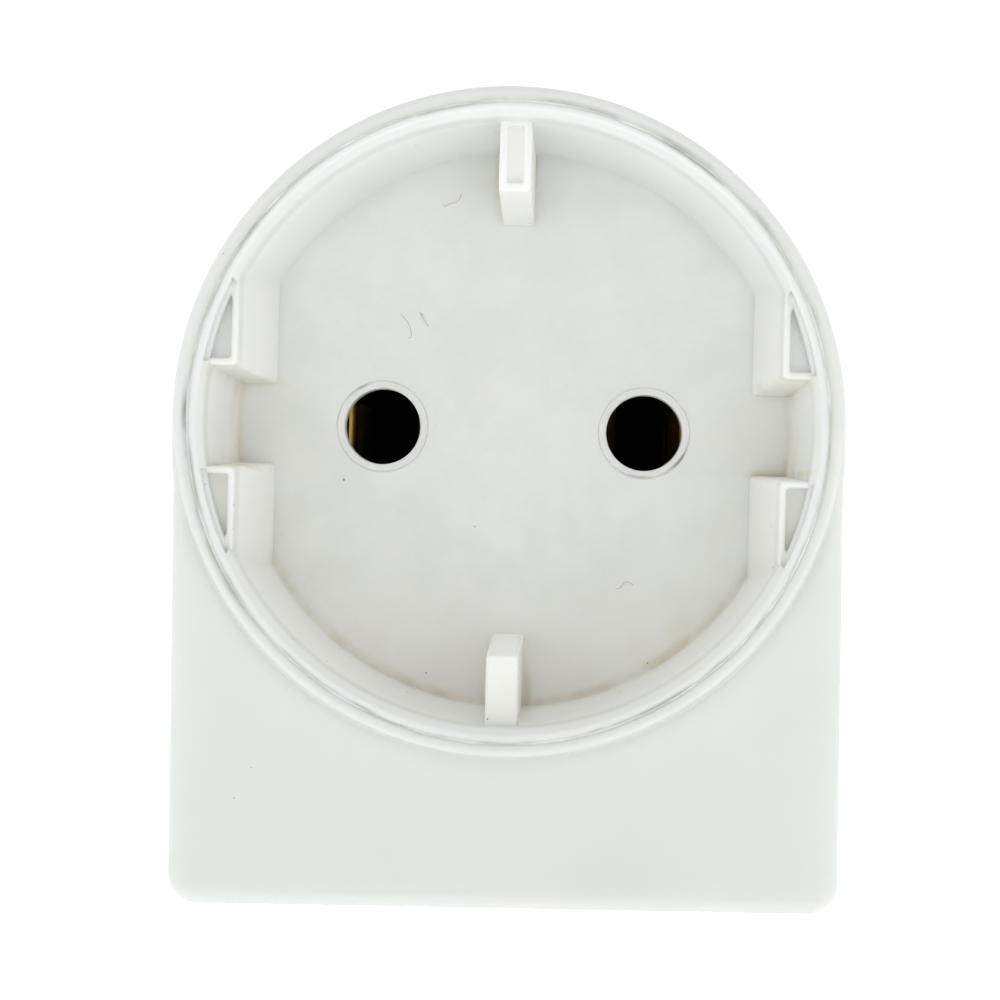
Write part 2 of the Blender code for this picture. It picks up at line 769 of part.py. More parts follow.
def make_pin_retainer():
    """Plate that holds both pin flanges down on the boss floor."""
    plate = prism(
        "pin_retainer", stadium_outline(0.0, 0.0, RETAINER_LENGTH, RETAINER_WIDTH),
        RETAINER_LOW, RETAINER_HIGH, "carrier_plastic",
    )
    low = RETAINER_LOW - OVERLAP
    high = RETAINER_HIGH + OVERLAP
    for side in (-1, 1):
        x = side * PIN_SPACING / 2.0
        cut(plate, cylinder(f"stud_way_{side}", STUD_RADIUS + GAP, low, high, x, sides=16))
    cut(plate, cylinder("retainer_screw_way", RETAINER_SCREW_RADIUS + GAP, low, high, sides=12))
    return plate


def make_busbar(name, side):
    """Strip from the stem of a socket contact, out and down to the stud of its plug pin."""
    stem_end = -STEM_RADIUS - 1.4 * MM
    stud_end = -STUD_RADIUS - 0.1 * MM
    path = [
        (stem_end, BUSBAR_HIGH),
        (BUSBAR_REACH, BUSBAR_HIGH),
        (BUSBAR_REACH, BUSBAR_LOW),
        (stud_end, BUSBAR_LOW),
    ]
    path = [(side * along, level) for along, level in path]
    x = side * PIN_SPACING / 2.0
    return bent_strip(name, path, BUSBAR_HALF_WIDTH, BUSBAR_THICKNESS, x, "brass")


def make_board_wire(name, side, finish):
    """Insulated lead from the side of a busbar up to the back of the board."""
    points = [
        (3.5 * MM, 11.0 * MM),
        (4.4 * MM, 11.3 * MM),
        (5.3 * MM, 12.2 * MM),
        (5.9 * MM, 13.6 * MM),
        (WIRE_Y, 15.4 * MM),
        (WIRE_Y, BOARD_BACK - GAP - 0.05 * MM),
    ]
    route = [(side * WIRE_X, y, level) for y, level in points]
    return wire(name, route, WIRE_RADIUS, finish)


# ---------------------------------------------------------------- board and components

def board_cutters(prefix, low, high, tube_gap):
    """Holes that both the board and the insulating sheet need."""
    made = []
    for side in (-1, 1):
        made.append(
            cylinder(
                f"{prefix}_tube_way_{side}", TUBE_RADIUS + tube_gap, low, high,
                side * PIN_SPACING / 2.0, sides=24,
            )
        )
        made.append(
            cylinder(
                f"{prefix}_tower_way_{side}", TOWER_RADIUS + 0.4 * MM, low, high,
                side * SCREW_X, SCREW_Y, sides=16,
            )
        )
    return made


def make_main_board():
    board = prism("main_board", arch_outline(3.6 * MM), BOARD_BACK, BOARD_FRONT, "board_green")
    low = BOARD_BACK - OVERLAP
    high = BOARD_FRONT + OVERLAP
    cut(board, *board_cutters("board", low, high, GAP))
    return board


def make_insulation_sheet():
    low = SHEET_LEVEL
    high = SHEET_LEVEL + SHEET_THICKNESS
    sheet = prism("insulation_sheet", arch_outline(3.6 * MM), low, high, "fibre")
    cut(sheet, *board_cutters("sheet", low - OVERLAP, high + OVERLAP, 0.5 * MM))
    for number, (x, y) in enumerate(STANDOFFS):
        way = cylinder(
            f"standoff_way_{number}", 1.6 * MM, low - OVERLAP, high + OVERLAP, x, y, sides=12
        )
        cut(sheet, way)
    for side in (-1, 1):
        way = cylinder(
            f"wire_way_{side}", 1.2 * MM, low - OVERLAP, high + OVERLAP,
            side * WIRE_X, WIRE_Y, sides=12,
        )
        cut(sheet, way)
    return sheet


def component_box(name, x, y, width, height, rise, finish, round_by=0.3):
    """Box-shaped component on the board, with its middle and sizes in millimetres."""
    low = ((x - width / 2.0) * MM, (y - height / 2.0) * MM, PART_LEVEL)
    high = ((x + width / 2.0) * MM, (y + height / 2.0) * MM, PART_LEVEL + rise * MM)
    return box(name, low, high, finish, round_by * MM)


def component_can(name, x, y, radius, rise, finish, soften=0.5):
    """Upright round component, turned, with softened ends, in millimetres."""
    top = PART_LEVEL + rise * MM
    soften *= MM
    radius *= MM
    profile = [
        (0.0, top),
        (radius - soften, top),
        (radius, top - soften),
        (radius, PART_LEVEL + soften),
        (radius - soften, PART_LEVEL),
        (0.0, PART_LEVEL),
    ]
    return turned(name, profile, finish, steps=20, x=x * MM, y=y * MM)


def component_disc(name, x, y, radius, thickness, finish):
    """Disc component that stands on its edge, facing up and down the board, in millimetres."""
    rim = 0.35 * thickness * MM
    radius *= MM
    half = thickness * MM / 2.0
    profile = [
        (0.0, half),
        (radius - rim, half),
        (radius, half - rim),
        (radius, rim - half),
        (radius - rim, -half),
        (0.0, -half),
    ]
    disc = turned(name, profile, finish, steps=20)
    disc.rotation_euler.x = QUARTER_TURN
    disc.location = (x * MM, y * MM, PART_LEVEL + radius + 0.8 * MM)
    return disc


def make_line_choke():
    """Ring core with its winding, lying flat between the contact tubes."""
    inner = 1.5 * MM
    outer = 4.1 * MM
    top = PART_LEVEL + 4.6 * MM
    edge = 0.8 * MM
    profile = [
        (inner + edge, top),
        (outer - edge, top),
        (outer, top - edge),
        (outer, PART_LEVEL + edge),
        (outer - edge, PART_LEVEL),
        (inner + edge, PART_LEVEL),
        (inner, PART_LEVEL + edge),
        (inner, top - edge),
    ]
    return turned("line_choke", profile, "component_yellow", steps=24, y=-0.9 * MM, closed=True)


def make_heat_sink():
    """Finned aluminium block on the powerline chip."""
    low = PART_LEVEL + 1.2 * MM + GAP
    x, y, half = 13.3 * MM, -10.6 * MM, 3.9 * MM
    sink = box("heat_sink", (x - half, y - half, low), (x + half, y + half, low + 6.0 * MM), "aluminium")
    fins = 5
    pitch = 2.0 * half / fins
    for fin in range(fins - 1):
        middle = x - half + (fin + 1) * pitch
        groove = box(
            f"fin_gap_{fin}",
            (middle - 0.4 * MM, y - half - OVERLAP, low + 1.2 * MM),
            (middle + 0.4 * MM, y + half + OVERLAP, low + 7.0 * MM),
        )
        cut(sink, groove)
    return sink


def make_power_transformer():
    """Ferrite core as two end blocks and a bridge, with the taped winding between them."""
    x, y = -12.6 * MM, -19.2 * MM
    half_x, half_y = 3.8 * MM, 4.4 * MM
    top = PART_LEVEL + 9.0 * MM
    core = box(
        "power_transformer_core", (x - half_x, y - half_y, PART_LEVEL), (x + half_x, y + half_y, top),
        "ferrite",
    )
    window = box(
        "core_window",
        (x - half_x - OVERLAP, y - half_y + 1.6 * MM, PART_LEVEL + 1.6 * MM),
        (x + half_x + OVERLAP, y + half_y - 1.6 * MM, top + OVERLAP),
    )
    cut(core, window)
    box(
        "power_transformer_winding",
        (x - half_x + 0.2 * MM, y - half_y + 1.6 * MM + GAP, PART_LEVEL + 1.6 * MM + GAP),
        (x + half_x - 0.2 * MM, y + half_y - 1.6 * MM - GAP, top - 0.4 * MM),
        "winding_tape", 0.5 * MM,
    )


def make_components():
    component_box("x2_capacitor", 0.0, 11.9, 12.6, 4.8, 10.5, "component_yellow")
    component_disc("varistor", -10.4, 9.9, 3.5, 3.4, "component_blue")
    component_can("mains_fuse", 10.9, 9.6, 3.4, 8.0, "black_plastic")
    component_disc("y_capacitor", 0.0, 16.2, 2.8, 2.6, "component_blue")
    component_box("coupling_transformer", 0.0, 6.3, 7.0, 4.6, 5.0, "ferrite")
    make_line_choke()
    component_box("bridge_rectifier", -14.0, 6.1, 4.2, 3.0, 2.4, "chip_black")
    component_can("bulk_capacitor", -12.7, -10.4, 3.9, 10.8, "black_plastic")
    make_power_transformer()
    component_box("optocoupler", -11.3, -26.3, 3.4, 3.0, 2.2, "chip_black")
    component_can("output_capacitor", 11.4, -25.7, 2.1, 8.0, "black_plastic", 0.3)
    component_box("powerline_chip", 13.3, -10.6, 8.2, 8.2, 1.2, "chip_black", 0.1)
    make_heat_sink()
    component_box("memory_chip", 11.5, -18.4, 4.4, 4.6, 1.0, "chip_black", 0.1)
    component_box("crystal_can", 11.4, -22.2, 3.6, 1.8, 2.6, "steel", 0.4)
    component_box("ethernet_magnetics", 0.0, -8.1, 11.6, 4.2, 4.0, "chip_black")
    for light, name in enumerate(("led_power", "led_link", "led_network")):
        component_box(name, -17.9, light_y(light) / MM, 1.2, 1.6, 0.9, "lamp_white", 0.1)


# ---------------------------------------------------------------- network jack

def make_jack_housing():
    """Plastic body of the jack: plug cavity, latch steps and the window for the contacts."""
    half = JACK_HALF - SHIELD_THICKNESS - GAP
    top = JACK_TOP - SHIELD_THICKNESS - GAP
    end = JACK_END - SHIELD_THICKNESS - GAP
    housing = box("jack_housing", (-half, JACK_MOUTH, PART_LEVEL), (half, end, top), "black_plastic")
    for number, (half_width, depth, low, high) in enumerate(JACK_ROOMS):
        room = box(
            f"jack_room_{number}",
            (-half_width, JACK_MOUTH - OVERLAP, low),
            (half_width, JACK_MOUTH + depth, high),
        )
        cut(housing, room)
    cavity_floor = JACK_ROOMS[0][2]
    window_half = 4.3 * MM
    window_reach = 0.6 * MM
    window = box(
        "jack_window",
        (-window_half, JACK_CONTACT_Y - window_reach, PART_LEVEL - OVERLAP),
        (window_half, JACK_CONTACT_Y + window_reach, cavity_floor + OVERLAP),
    )
    cut(housing, window)
    return housing


def make_jack_shield():
    """Folded metal cover over the sides, top and end of the jack."""
    shield = box(
        "jack_shield", (-JACK_HALF, JACK_MOUTH, PART_LEVEL), (JACK_HALF, JACK_END, JACK_TOP), "nickel"
    )
    room = box(
        "shield_room",
        (-JACK_HALF + SHIELD_THICKNESS, JACK_MOUTH - OVERLAP, PART_LEVEL - OVERLAP),
        (JACK_HALF - SHIELD_THICKNESS, JACK_END - SHIELD_THICKNESS, JACK_TOP - SHIELD_THICKNESS),
    )
    cut(shield, room)
    return shield


def make_jack_contacts():
    for way in range(JACK_WAYS):
        x = (way - (JACK_WAYS - 1) / 2.0) * JACK_PITCH
        route = [
            (x, JACK_CONTACT_Y, PART_LEVEL + 0.1 * MM),
            (x, JACK_CONTACT_Y, 24.9 * MM),
            (x, JACK_CONTACT_Y + 0.5 * MM, 25.3 * MM),
            (x, JACK_CONTACT_END, 27.9 * MM),
        ]
        wire(f"jack_contact_{way + 1}", route, JACK_CONTACT_RADIUS, "brass", 1)


# ---------------------------------------------------------------- side controls

def make_light_guide():
    """Clear bar over the lights, with a round finger through each window and two feet."""
    inner, outer = -17.0 * MM, -19.3 * MM
    low, high = 24.0 * MM, 27.2 * MM
    reach = LIGHT_SPACING + 2.2 * MM
    bar = box(
        "light_guide", (outer, LIGHTS_Y - reach, low), (inner, LIGHTS_Y + reach, high),
        "clear_plastic",
    )
    for light in range(3):
        finger = side_cylinder(
            f"finger_{light}", LIGHT_RADIUS, -BODY_HALF_WIDTH - 0.1 * MM, outer + OVERLAP,
            light_y(light), CONTROL_LEVEL, sides=16,
        )
        join(bar, finger)
    for side in (-1, 1):
        middle = LIGHTS_Y + side * (LIGHT_SPACING / 2.0)
        foot = box(
            f"foot_{side}",
            (-18.4 * MM, middle - 0.5 * MM, PART_LEVEL),
            (-17.4 * MM, middle + 0.5 * MM, low + OVERLAP),
        )
        join(bar, foot)
    return bar


def make_pair_button():
    """Push button whose origin lies on the line it slides along, with a stop flange inside."""
    flange_outside = BODY_HALF_WIDTH - WALL - GAP
    cap_inside = flange_outside - 0.2 * MM
    cap_outside = BODY_HALF_WIDTH + BUTTON_PROUD
    half_height = (cap_outside - cap_inside) / 2.0
    cap = prism(
        "pair_button", stadium_outline(BUTTON_Y, CONTROL_LEVEL, BUTTON_LENGTH, BUTTON_WIDTH),
        -half_height, half_height, "white_plastic",
    )
    round_rim(cap, True, 0.5 * MM, 2)
    sideways(cap, cap_inside, cap_outside)
    flange = prism(
        "button_flange",
        stadium_outline(
            BUTTON_Y, CONTROL_LEVEL, BUTTON_LENGTH + 2 * BUTTON_FLANGE, BUTTON_WIDTH + 2 * BUTTON_FLANGE
        ),
        -BUTTON_FLANGE_HEIGHT / 2.0, BUTTON_FLANGE_HEIGHT / 2.0,
    )
    sideways(flange, flange_outside - BUTTON_FLANGE_HEIGHT, flange_outside)
    join(cap, flange)
    return cap


def make_tact_switch():
    """Switch body at the edge of the board, with a bore for its plunger."""
    left, right = 14.5 * MM, 18.0 * MM
    half_length = 3.0 * MM
    rise = 6.8 * MM
    plunger_left, plunger_right = 16.5 * MM, 18.85 * MM
    bore_left = plunger_left - 0.9 * MM
    switch = box(
        "tact_switch",
        (left, BUTTON_Y - half_length, PART_LEVEL),
        (right, BUTTON_Y + half_length, PART_LEVEL + rise),
        "black_plastic", 0.2 * MM,
    )
    bore = side_cylinder(
        "plunger_bore", PLUNGER_RADIUS + 0.25 * MM, bore_left, right + OVERLAP,
        BUTTON_Y, CONTROL_LEVEL, sides=20,
    )
    cut(switch, bore)
    side_cylinder(
        "switch_plunger", PLUNGER_RADIUS, plunger_left, plunger_right, BUTTON_Y, CONTROL_LEVEL,
        "lamp_white", 20,
    )


def make_adapter():
    make_front_shell()
    make_rear_shell()
    make_socket_insert()
    make_contact_carrier()
    for name, side, finish in (("left", -1, "live_brown"), ("right", 1, "neutral_blue")):
        x = side * PIN_SPACING / 2.0
        make_contact(f"contact_{name}", x)
        make_busbar(f"busbar_{name}", side)
        make_plug_pin(f"plug_pin_{name}", x)
        lead = "live_wire" if side < 0 else "neutral_wire"
        make_board_wire(lead, side, finish)
        make_screw(
            f"screw_{name}", side * SCREW_X, SCREW_Y, 17.2 * MM, 12.0 * MM,
            SCREW_RADIUS, SCREW_HEAD, 1.4 * MM,
        )
    make_pin_retainer()
    # The retaining screw points the other way: its head is inside and its tip in the boss floor.
    retainer_screw = make_screw(
        "retainer_screw", 0.0, 0.0, -9.0 * MM, 5.6 * MM, RETAINER_SCREW_RADIUS, 1.9 * MM, 1.2 * MM
    )
    retainer_screw.rotation_euler.x = math.pi
    make_main_board()
    make_insulation_sheet()
    make_components()
    make_jack_housing()
    make_jack_shield()
    make_jack_contacts()
    make_light_guide()
    make_pair_button()
    make_tact_switch()
    bpy.context.view_layer.update()


make_adapter()
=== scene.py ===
"""Looks of the pass-through powerline adapter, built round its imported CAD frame.

Every piece is drawn as seen from the front: X to the right, Y up, and a level that runs towards the
user from the face of the plug. UPRIGHT turns that drawing into the frame, where the front faces -Y.
"""

import functools
import json
import math

import bmesh
import bpy
from mathutils import Matrix, Vector, noise


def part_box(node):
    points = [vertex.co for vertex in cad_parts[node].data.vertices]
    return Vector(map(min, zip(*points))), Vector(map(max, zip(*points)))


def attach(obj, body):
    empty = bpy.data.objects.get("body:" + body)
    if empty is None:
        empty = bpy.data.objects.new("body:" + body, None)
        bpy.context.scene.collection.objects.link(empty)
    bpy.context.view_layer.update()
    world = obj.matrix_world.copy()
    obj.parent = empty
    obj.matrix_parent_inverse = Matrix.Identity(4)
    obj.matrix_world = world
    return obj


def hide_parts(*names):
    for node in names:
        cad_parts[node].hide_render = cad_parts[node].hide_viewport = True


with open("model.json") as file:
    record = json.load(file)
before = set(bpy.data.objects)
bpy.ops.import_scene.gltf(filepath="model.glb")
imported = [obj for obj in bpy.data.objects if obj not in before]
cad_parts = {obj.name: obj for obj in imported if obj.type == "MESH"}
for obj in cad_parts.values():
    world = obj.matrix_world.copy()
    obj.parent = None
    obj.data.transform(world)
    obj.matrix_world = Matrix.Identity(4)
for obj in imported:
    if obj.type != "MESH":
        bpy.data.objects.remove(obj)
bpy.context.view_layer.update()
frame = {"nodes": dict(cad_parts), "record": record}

MM = 0.001
UPRIGHT = Matrix(((1, 0, 0, 0), (0, 0, -1, 0), (0, 1, 0, 0), (0, 0, 0, 1)))
CLEARANCE = 1.0 * MM
GAP = 0.3 * MM
STEPS = 192


# ---- places, from the frame

def span(node):
    """Lowest and highest corner of a CAD node, as (x, y, level)."""
    low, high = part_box(node)
    return Vector((low.x, low.z, -high.y)), Vector((high.x, high.z, -low.y))


SHELL_LOW, SHELL_HIGH = span("front_shell")
REAR_HIGH = span("rear_shell")[1]
CARRIER_LOW, CARRIER_HIGH = span("contact_carrier")
PIN_LOW, PIN_HIGH = span("plug_pin_right")
SCREW_LOW, SCREW_HIGH = span("screw_right")
JACK_HIGH = span("jack_shield")[1]
HOUSING_LOW, HOUSING_HIGH = span("jack_housing")
BUTTON_LOW, BUTTON_HIGH = span("pair_button")
GUIDE_LOW, GUIDE_HIGH = span("light_guide")

HALF_WIDTH = SHELL_HIGH.x
BOTTOM = SHELL_LOW.y
SPLIT = SHELL_LOW.z
RIM = SHELL_HIGH.z
FACE = RIM - 0.8 * MM
CORNER = 1.9 * MM
WALL = 2.0 * MM
EDGE = 1.0 * MM
COLLAR_RADIUS = 22.1 * MM
BORE_RADIUS = 21.25 * MM

CUP_BACK = span("socket_insert")[0].z
FLOOR = RIM - 17.5 * MM
FLOOR_RADIUS = 20.05 * MM
RECESS_RADIUS = 20.2 * MM
CUP_RADIUS = 21.13 * MM
BLOCK_TOP = RIM - 1.0 * MM
POCKET_DEPTH = 0.9 * MM
SLOT_DEPTH = 0.7 * MM
RIB_TOP = RIM - 2.5 * MM
INSERT_TURN = math.radians(-0.7)

PIN_X = (PIN_LOW.x + PIN_HIGH.x) / 2.0
PIN_RADIUS = 2.4 * MM
HOLE_RADIUS = 2.75 * MM
HOLE_RING = 3.3 * MM

BACK = 16.5 * MM
REAR_TOP = SPLIT - GAP
SCREW_X = (SCREW_LOW.x + SCREW_HIGH.x) / 2.0
SCREW_Y = (SCREW_LOW.y + SCREW_HIGH.y) / 2.0
SCREW_HEAD = (SCREW_HIGH.x - SCREW_LOW.x) / 2.0
CONTROL_LEVEL = (BUTTON_LOW.z + BUTTON_HIGH.z) / 2.0
BUTTON_Y = (BUTTON_LOW.y + BUTTON_HIGH.y) / 2.0
LIGHTS_Y = (GUIDE_LOW.y + GUIDE_HIGH.y) / 2.0
LIGHT_SPACING = 4.5 * MM
LIGHTS = [LIGHTS_Y + step * LIGHT_SPACING for step in (-1, 0, 1)]
CONTACT_LEG = 2.5 * MM
JACK_WAYS = 8
JACK_PITCH = 1.02 * MM

# In millimetres: half width, depth, lowest and highest level of each room of the jack's cavity
JACK_ROOMS = ((5.95, 15.4, 24.6, 31.4), (3.1, 9.0, 31.0, 32.8), (1.7, 9.0, 32.4, 33.7))
# Left, low, right and high side of each gap in the lip: for the jack, the button and the lights
LIP_GAPS = ((-25.0, -34.0, 25.0, -23.5), (16.0, -24.0, 24.0, -12.6), (-24.0, -24.0, -16.0, -9.0))
# X and Y of the posts that carry the board
BOARD_POSTS = ((0.0, 16.6), (-16.6, -12.0), (16.9, -4.6))
# Each hair's X, Y and length, and its direction in radians
HAIRS = ((-4.9, 16.6, 1.5, 0.4), (-7.8, 7.2, 1.9, 2.0), (8.1, -11.0, 1.3, 3.4), (-6.6, 8.1, 0.9, 5.0))

BUTTON_BODY = "button"

FRONT_LIGHT = 0.42
BACK_LIGHT = 1.02
FLOOR_GLOW = 0.48
SOFTBOX_WATTS = 0.9


# ---- outlines

def arc(centre_x, centre_y, radius, start, end, steps):
    """Points along an arc, with its angles in degrees."""
    points = []
    for step in range(steps + 1):
        angle = math.radians(start + (end - start) * step / steps)
        points.append((centre_x + radius * math.cos(angle), centre_y + radius * math.sin(angle)))
    return points


def arch(inset, level=0.0):
    """Outline of the body: a half circle over straight sides, with small round bottom corners."""
    half = HALF_WIDTH - inset
    bottom = BOTTOM + inset
    corner = max(CORNER - inset, 0.3 * MM)
    points = arc(0.0, 0.0, half, 0.0, 180.0, 128)
    points += arc(corner - half, bottom + corner, corner, 180.0, 270.0, 12)
    points += arc(half - corner, bottom + corner, corner, 270.0, 360.0, 12)
    return points


def circle_at(x, y, radius, steps=64):
    """Outline function for a round boss, pin or hole."""
    def outline(inset, level=0.0):
        return arc(x, y, radius - inset, 0.0, 360.0, steps)[:-1]
    return outline


def stadium_at(x, y, length, width, steps=24):
    """Outline function for a slot shape, long in its first direction."""
    def outline(inset, level=0.0):
        radius = width / 2.0 - inset
        reach = (length - width) / 2.0
        points = arc(x + reach, y, radius, -90.0, 90.0, steps)
        return points + arc(x - reach, y, radius, 90.0, 270.0, steps)
    return outline


def rectangle_at(low, high, corner=0.0, steps=4):
    """Outline function for a rectangle between two corners, with round corners."""
    def outline(inset, level=0.0):
        left, down = low[0] + inset, low[1] + inset
        right, up = high[0] - inset, high[1] - inset
        turn = max(corner, 0.02 * MM)
        points = arc(right - turn, up - turn, turn, 0.0, 90.0, steps)
        points += arc(left + turn, up - turn, turn, 90.0, 180.0, steps)
        points += arc(left + turn, down + turn, turn, 180.0, 270.0, steps)
        return points + arc(right - turn, down + turn, turn, 270.0, 360.0, steps)
    return outline


def mirrored(outline, flip_x, flip_y):
    """The same outline function in another quarter, still running anticlockwise."""
    def flipped(inset, level=0.0):
        points = [(x * flip_x, y * flip_y) for x, y in outline(inset, level)]
        return points if flip_x * flip_y > 0 else points[::-1]
    return flipped


def four_ways(quarter):
    """Whole outline from its quarter, which runs from the +X axis round to the +Y axis."""
    left = [(-x, y) for x, y in reversed(quarter)]
    low_left = [(-x, -y) for x, y in quarter]
    low_right = [(x, -y) for x, y in reversed(quarter)]
    return quarter + left[1:] + low_left[1:] + low_right[1:-1]


# ---- solids

def ringed_rows(stations, closed=False):
    """Bmesh of faces between (level, outline) stations, and its rows of vertices."""
    work = bmesh.new()
    rows = [[work.verts.new((x, y, level)) for x, y in outline] for level, outline in stations]
    for first, second in zip(rows, rows[1:] + rows[:1 if closed else 0]):
        for here in range(len(first)):
            there = (here + 1) % len(first)
            work.faces.new((first[here], first[there], second[there], second[here]))
    return work, rows


def loft(stations):
    """Closed solid through outlines at rising levels."""
    work, rows = ringed_rows(stations)
    work.faces.new(rows[0][::-1])
    work.faces.new(rows[-1])
    return work


def easing(steps):
    """Points of a quarter turn: how far each is along it, and how far still to go across."""
    angles = [math.radians(90.0) * step / steps for step in range(steps + 1)]
    return [(1.0 - math.cos(angle), 1.0 - math.sin(angle)) for angle in angles]


def rounded(outline, low, high, round_low=0.0, round_high=0.0, steps=6):
    """Closed solid between two levels, from an outline function, with rounded end edges."""
    stations = []
    for along, across in easing(steps)[0 if round_low else steps:]:
        level = low + round_low * along
        stations.append((level, outline(round_low * across, level)))
    for along, across in easing(steps)[::-1][:steps + 1 if round_high else 1]:
        level = high - round_high * along
        stations.append((level, outline(round_high * across, level)))
    return loft(stations)


def mouth(outline, low, high, flare, beyond=CLEARANCE, steps=5):
    """Cutter for a hole whose edge at the high end is rounded, carried on beyond the surface."""
    stations = [(low, outline(0.0, low))]
    for along, across in easing(steps):
        level = high - flare * across
        stations.append((level, outline(-flare * along, level)))
    stations.append((high + beyond, outline(-flare, high)))
    return loft(stations)


def lathe(profile, steps=STEPS, x=0.0, y=0.0, ring=False):
    """Solid turned round an axis at x, y from (radius, level) points; a ring's profile closes.

    Flat ends are single faces, so that they stay flat when they are cut.
    """
    work = bmesh.new()
    rows = []
    points = list(profile)
    flat_start = not ring and abs(points[0][1] - points[1][1]) < 0.05 * MM
    flat_end = not ring and abs(points[-1][1] - points[-2][1]) < 0.05 * MM
    points = points[1 if flat_start else 0:len(points) - 1 if flat_end else len(points)]
    for radius, level in points:
        if radius < 1e-7:
            rows.append([work.verts.new((x, y, level))])
        else:
            circle = arc(x, y, radius, 0.0, 360.0, steps)[:-1]
            rows.append([work.verts.new((along, across, level)) for along, across in circle])
    pairs = list(zip(rows, rows[1:]))
    if ring:
        pairs.append((rows[-1], rows[0]))
    for first, second in pairs:
        for here in range(steps):
            there = (here + 1) % steps
            corners = [first[here % len(first)], first[there % len(first)]]
            corners += [second[there % len(second)], second[here % len(second)]]
            work.faces.new(list(dict.fromkeys(corners)))
    if flat_start:
        work.faces.new(rows[0])
    if flat_end:
        work.faces.new(rows[-1])
    return work


def bent(points, radius, steps=5):
    """Profile points with each inner corner replaced by an arc of about that radius."""
    path = [Vector(point) for point in points]
    rounded_path = [path[0]]
    for before, corner, after in zip(path, path[1:], path[2:]):
        back = (before - corner).normalized()
        ahead = (after - corner).normalized()
        reach = min(radius, (before - corner).length / 2.2, (after - corner).length / 2.2)
        start, end = corner + back * reach, corner + ahead * reach
        for step in range(steps + 1):
            t = step / steps
            rounded_path.append(start.lerp(corner, t).lerp(corner.lerp(end, t), t))
    rounded_path.append(path[-1])
    return [tuple(point) for point in rounded_path]


def fence(stations):
    """Closed solid between (level, outline) rows that have the same number of points."""
    return ringed_rows(stations, closed=True)[0]


def put(name, data):
    """New object in the scene."""
    made = bpy.data.objects.new(name, data)
    bpy.context.scene.collection.objects.link(made)
    return made


def temporary(work, sideways=0):
    """Scratch object from a bmesh, used up by carve and weld."""
    bmesh.ops.recalc_face_normals(work, faces=work.faces)
    if sideways:
        work.transform(Matrix(((0, 0, 1, 0), (1, 0, 0, 0), (0, 1, 0, 0), (0, 0, 0, 1))))
    mesh = bpy.data.meshes.new("scratch")
    work.to_mesh(mesh)
    work.free()
    return put("scratch", mesh)


def combine(base, others, operation):
    """Boolean of a scratch object with others, in turn, which are removed."""
    for other in others:
        change = base.modifiers.new("Boolean", "BOOLEAN")
        change.operation = operation
        change.solver = "EXACT"
        change.object = other
    bpy.context.view_layer.update()
    seen = base.evaluated_get(bpy.context.evaluated_depsgraph_get())
    mesh = bpy.data.meshes.new_from_object(seen)
    base.modifiers.clear()
    base.data = mesh
    for other in others:
        bpy.data.objects.remove(other)
    return base


def carve(base, *cutters):
    return combine(base, cutters, "DIFFERENCE")


def weld(base, *others):
    return combine(base, others, "UNION")


def meet(base, *others):
    return combine(base, others, "INTERSECT")


def solid(*shape, sideways=0, **rounding):
    """Scratch object of a rounded solid."""
    return temporary(rounded(*shape, **rounding), sideways)


def opening(*shape, sideways=0):
    """Scratch cutter of a hole with a rounded mouth."""
    return temporary(mouth(*shape), sideways)


def facing_down(work):
    """Scratch object from a solid drawn as (x, -level), its height running down the front view."""
    work.transform(Matrix(((1, 0, 0, 0), (0, 0, -1, 0), (0, -1, 0, 0), (0, 0, 0, 1))))
    return temporary(work)


def facing_back(work, sideways=0):
    """Scratch object from a solid drawn with its height running away from the user."""
    work.transform(Matrix.Diagonal((1, 1, -1, 1)))
    return temporary(work, sideways)


def facing_left(work):
    """Scratch object from a solid drawn as (y, level), its height running to the left."""
    return facing_back(work, sideways=1)


def swept(path, section, side=(1.0, 0.0, 0.0)):
    """Closed solid along a path in a plane, from a section's (side, up) points."""
    work = bmesh.new()
    rows = []
    for number, point in enumerate(path):
        before, after = path[max(number - 1, 0)], path[min(number + 1, len(path) - 1)]
        ahead = (Vector(after) - Vector(before)).normalized()
        up = ahead.cross(Vector(side))
        rows.append([work.verts.new(Vector(point) + Vector(side) * a + up * b) for a, b in section])
    count = len(section)
    for first, second in zip(rows, rows[1:]):
        for here in range(count):
            there = (here + 1) % count
            work.faces.new((first[here], second[here], second[there], first[there]))
    work.faces.new(rows[0])
    work.faces.new(rows[-1][::-1])
    return work


REPLACED = set()


def piece(name, base, finish, stands_for=(), body="housing", turn=0.0, smooth=32.0):
    """Finished piece from a scratch object: upright, shaded, riding on its body."""
    work = bmesh.new()
    work.from_mesh(base.data)
    bmesh.ops.remove_doubles(work, verts=work.verts, dist=0.0005 * MM)
    bmesh.ops.dissolve_degenerate(work, edges=work.edges, dist=0.0005 * MM)
    work.transform(UPRIGHT @ Matrix.Rotation(turn, 4, "Z"))
    mesh = bpy.data.meshes.new(name)
    work.to_mesh(mesh)
    work.free()
    bpy.data.objects.remove(base)
    mesh.shade_smooth()
    mesh.set_sharp_from_angle(angle=math.radians(smooth))
    mesh.materials.clear()
    mesh.materials.append(finish)
    made = put(name, mesh)
    flat = made.modifiers.new("Flat faces stay flat", "WEIGHTED_NORMAL")
    flat.keep_sharp = True
    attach(made, body)
    if stands_for:
        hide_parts(*stands_for)
        REPLACED.update(stands_for)
    return made


# ---- materials

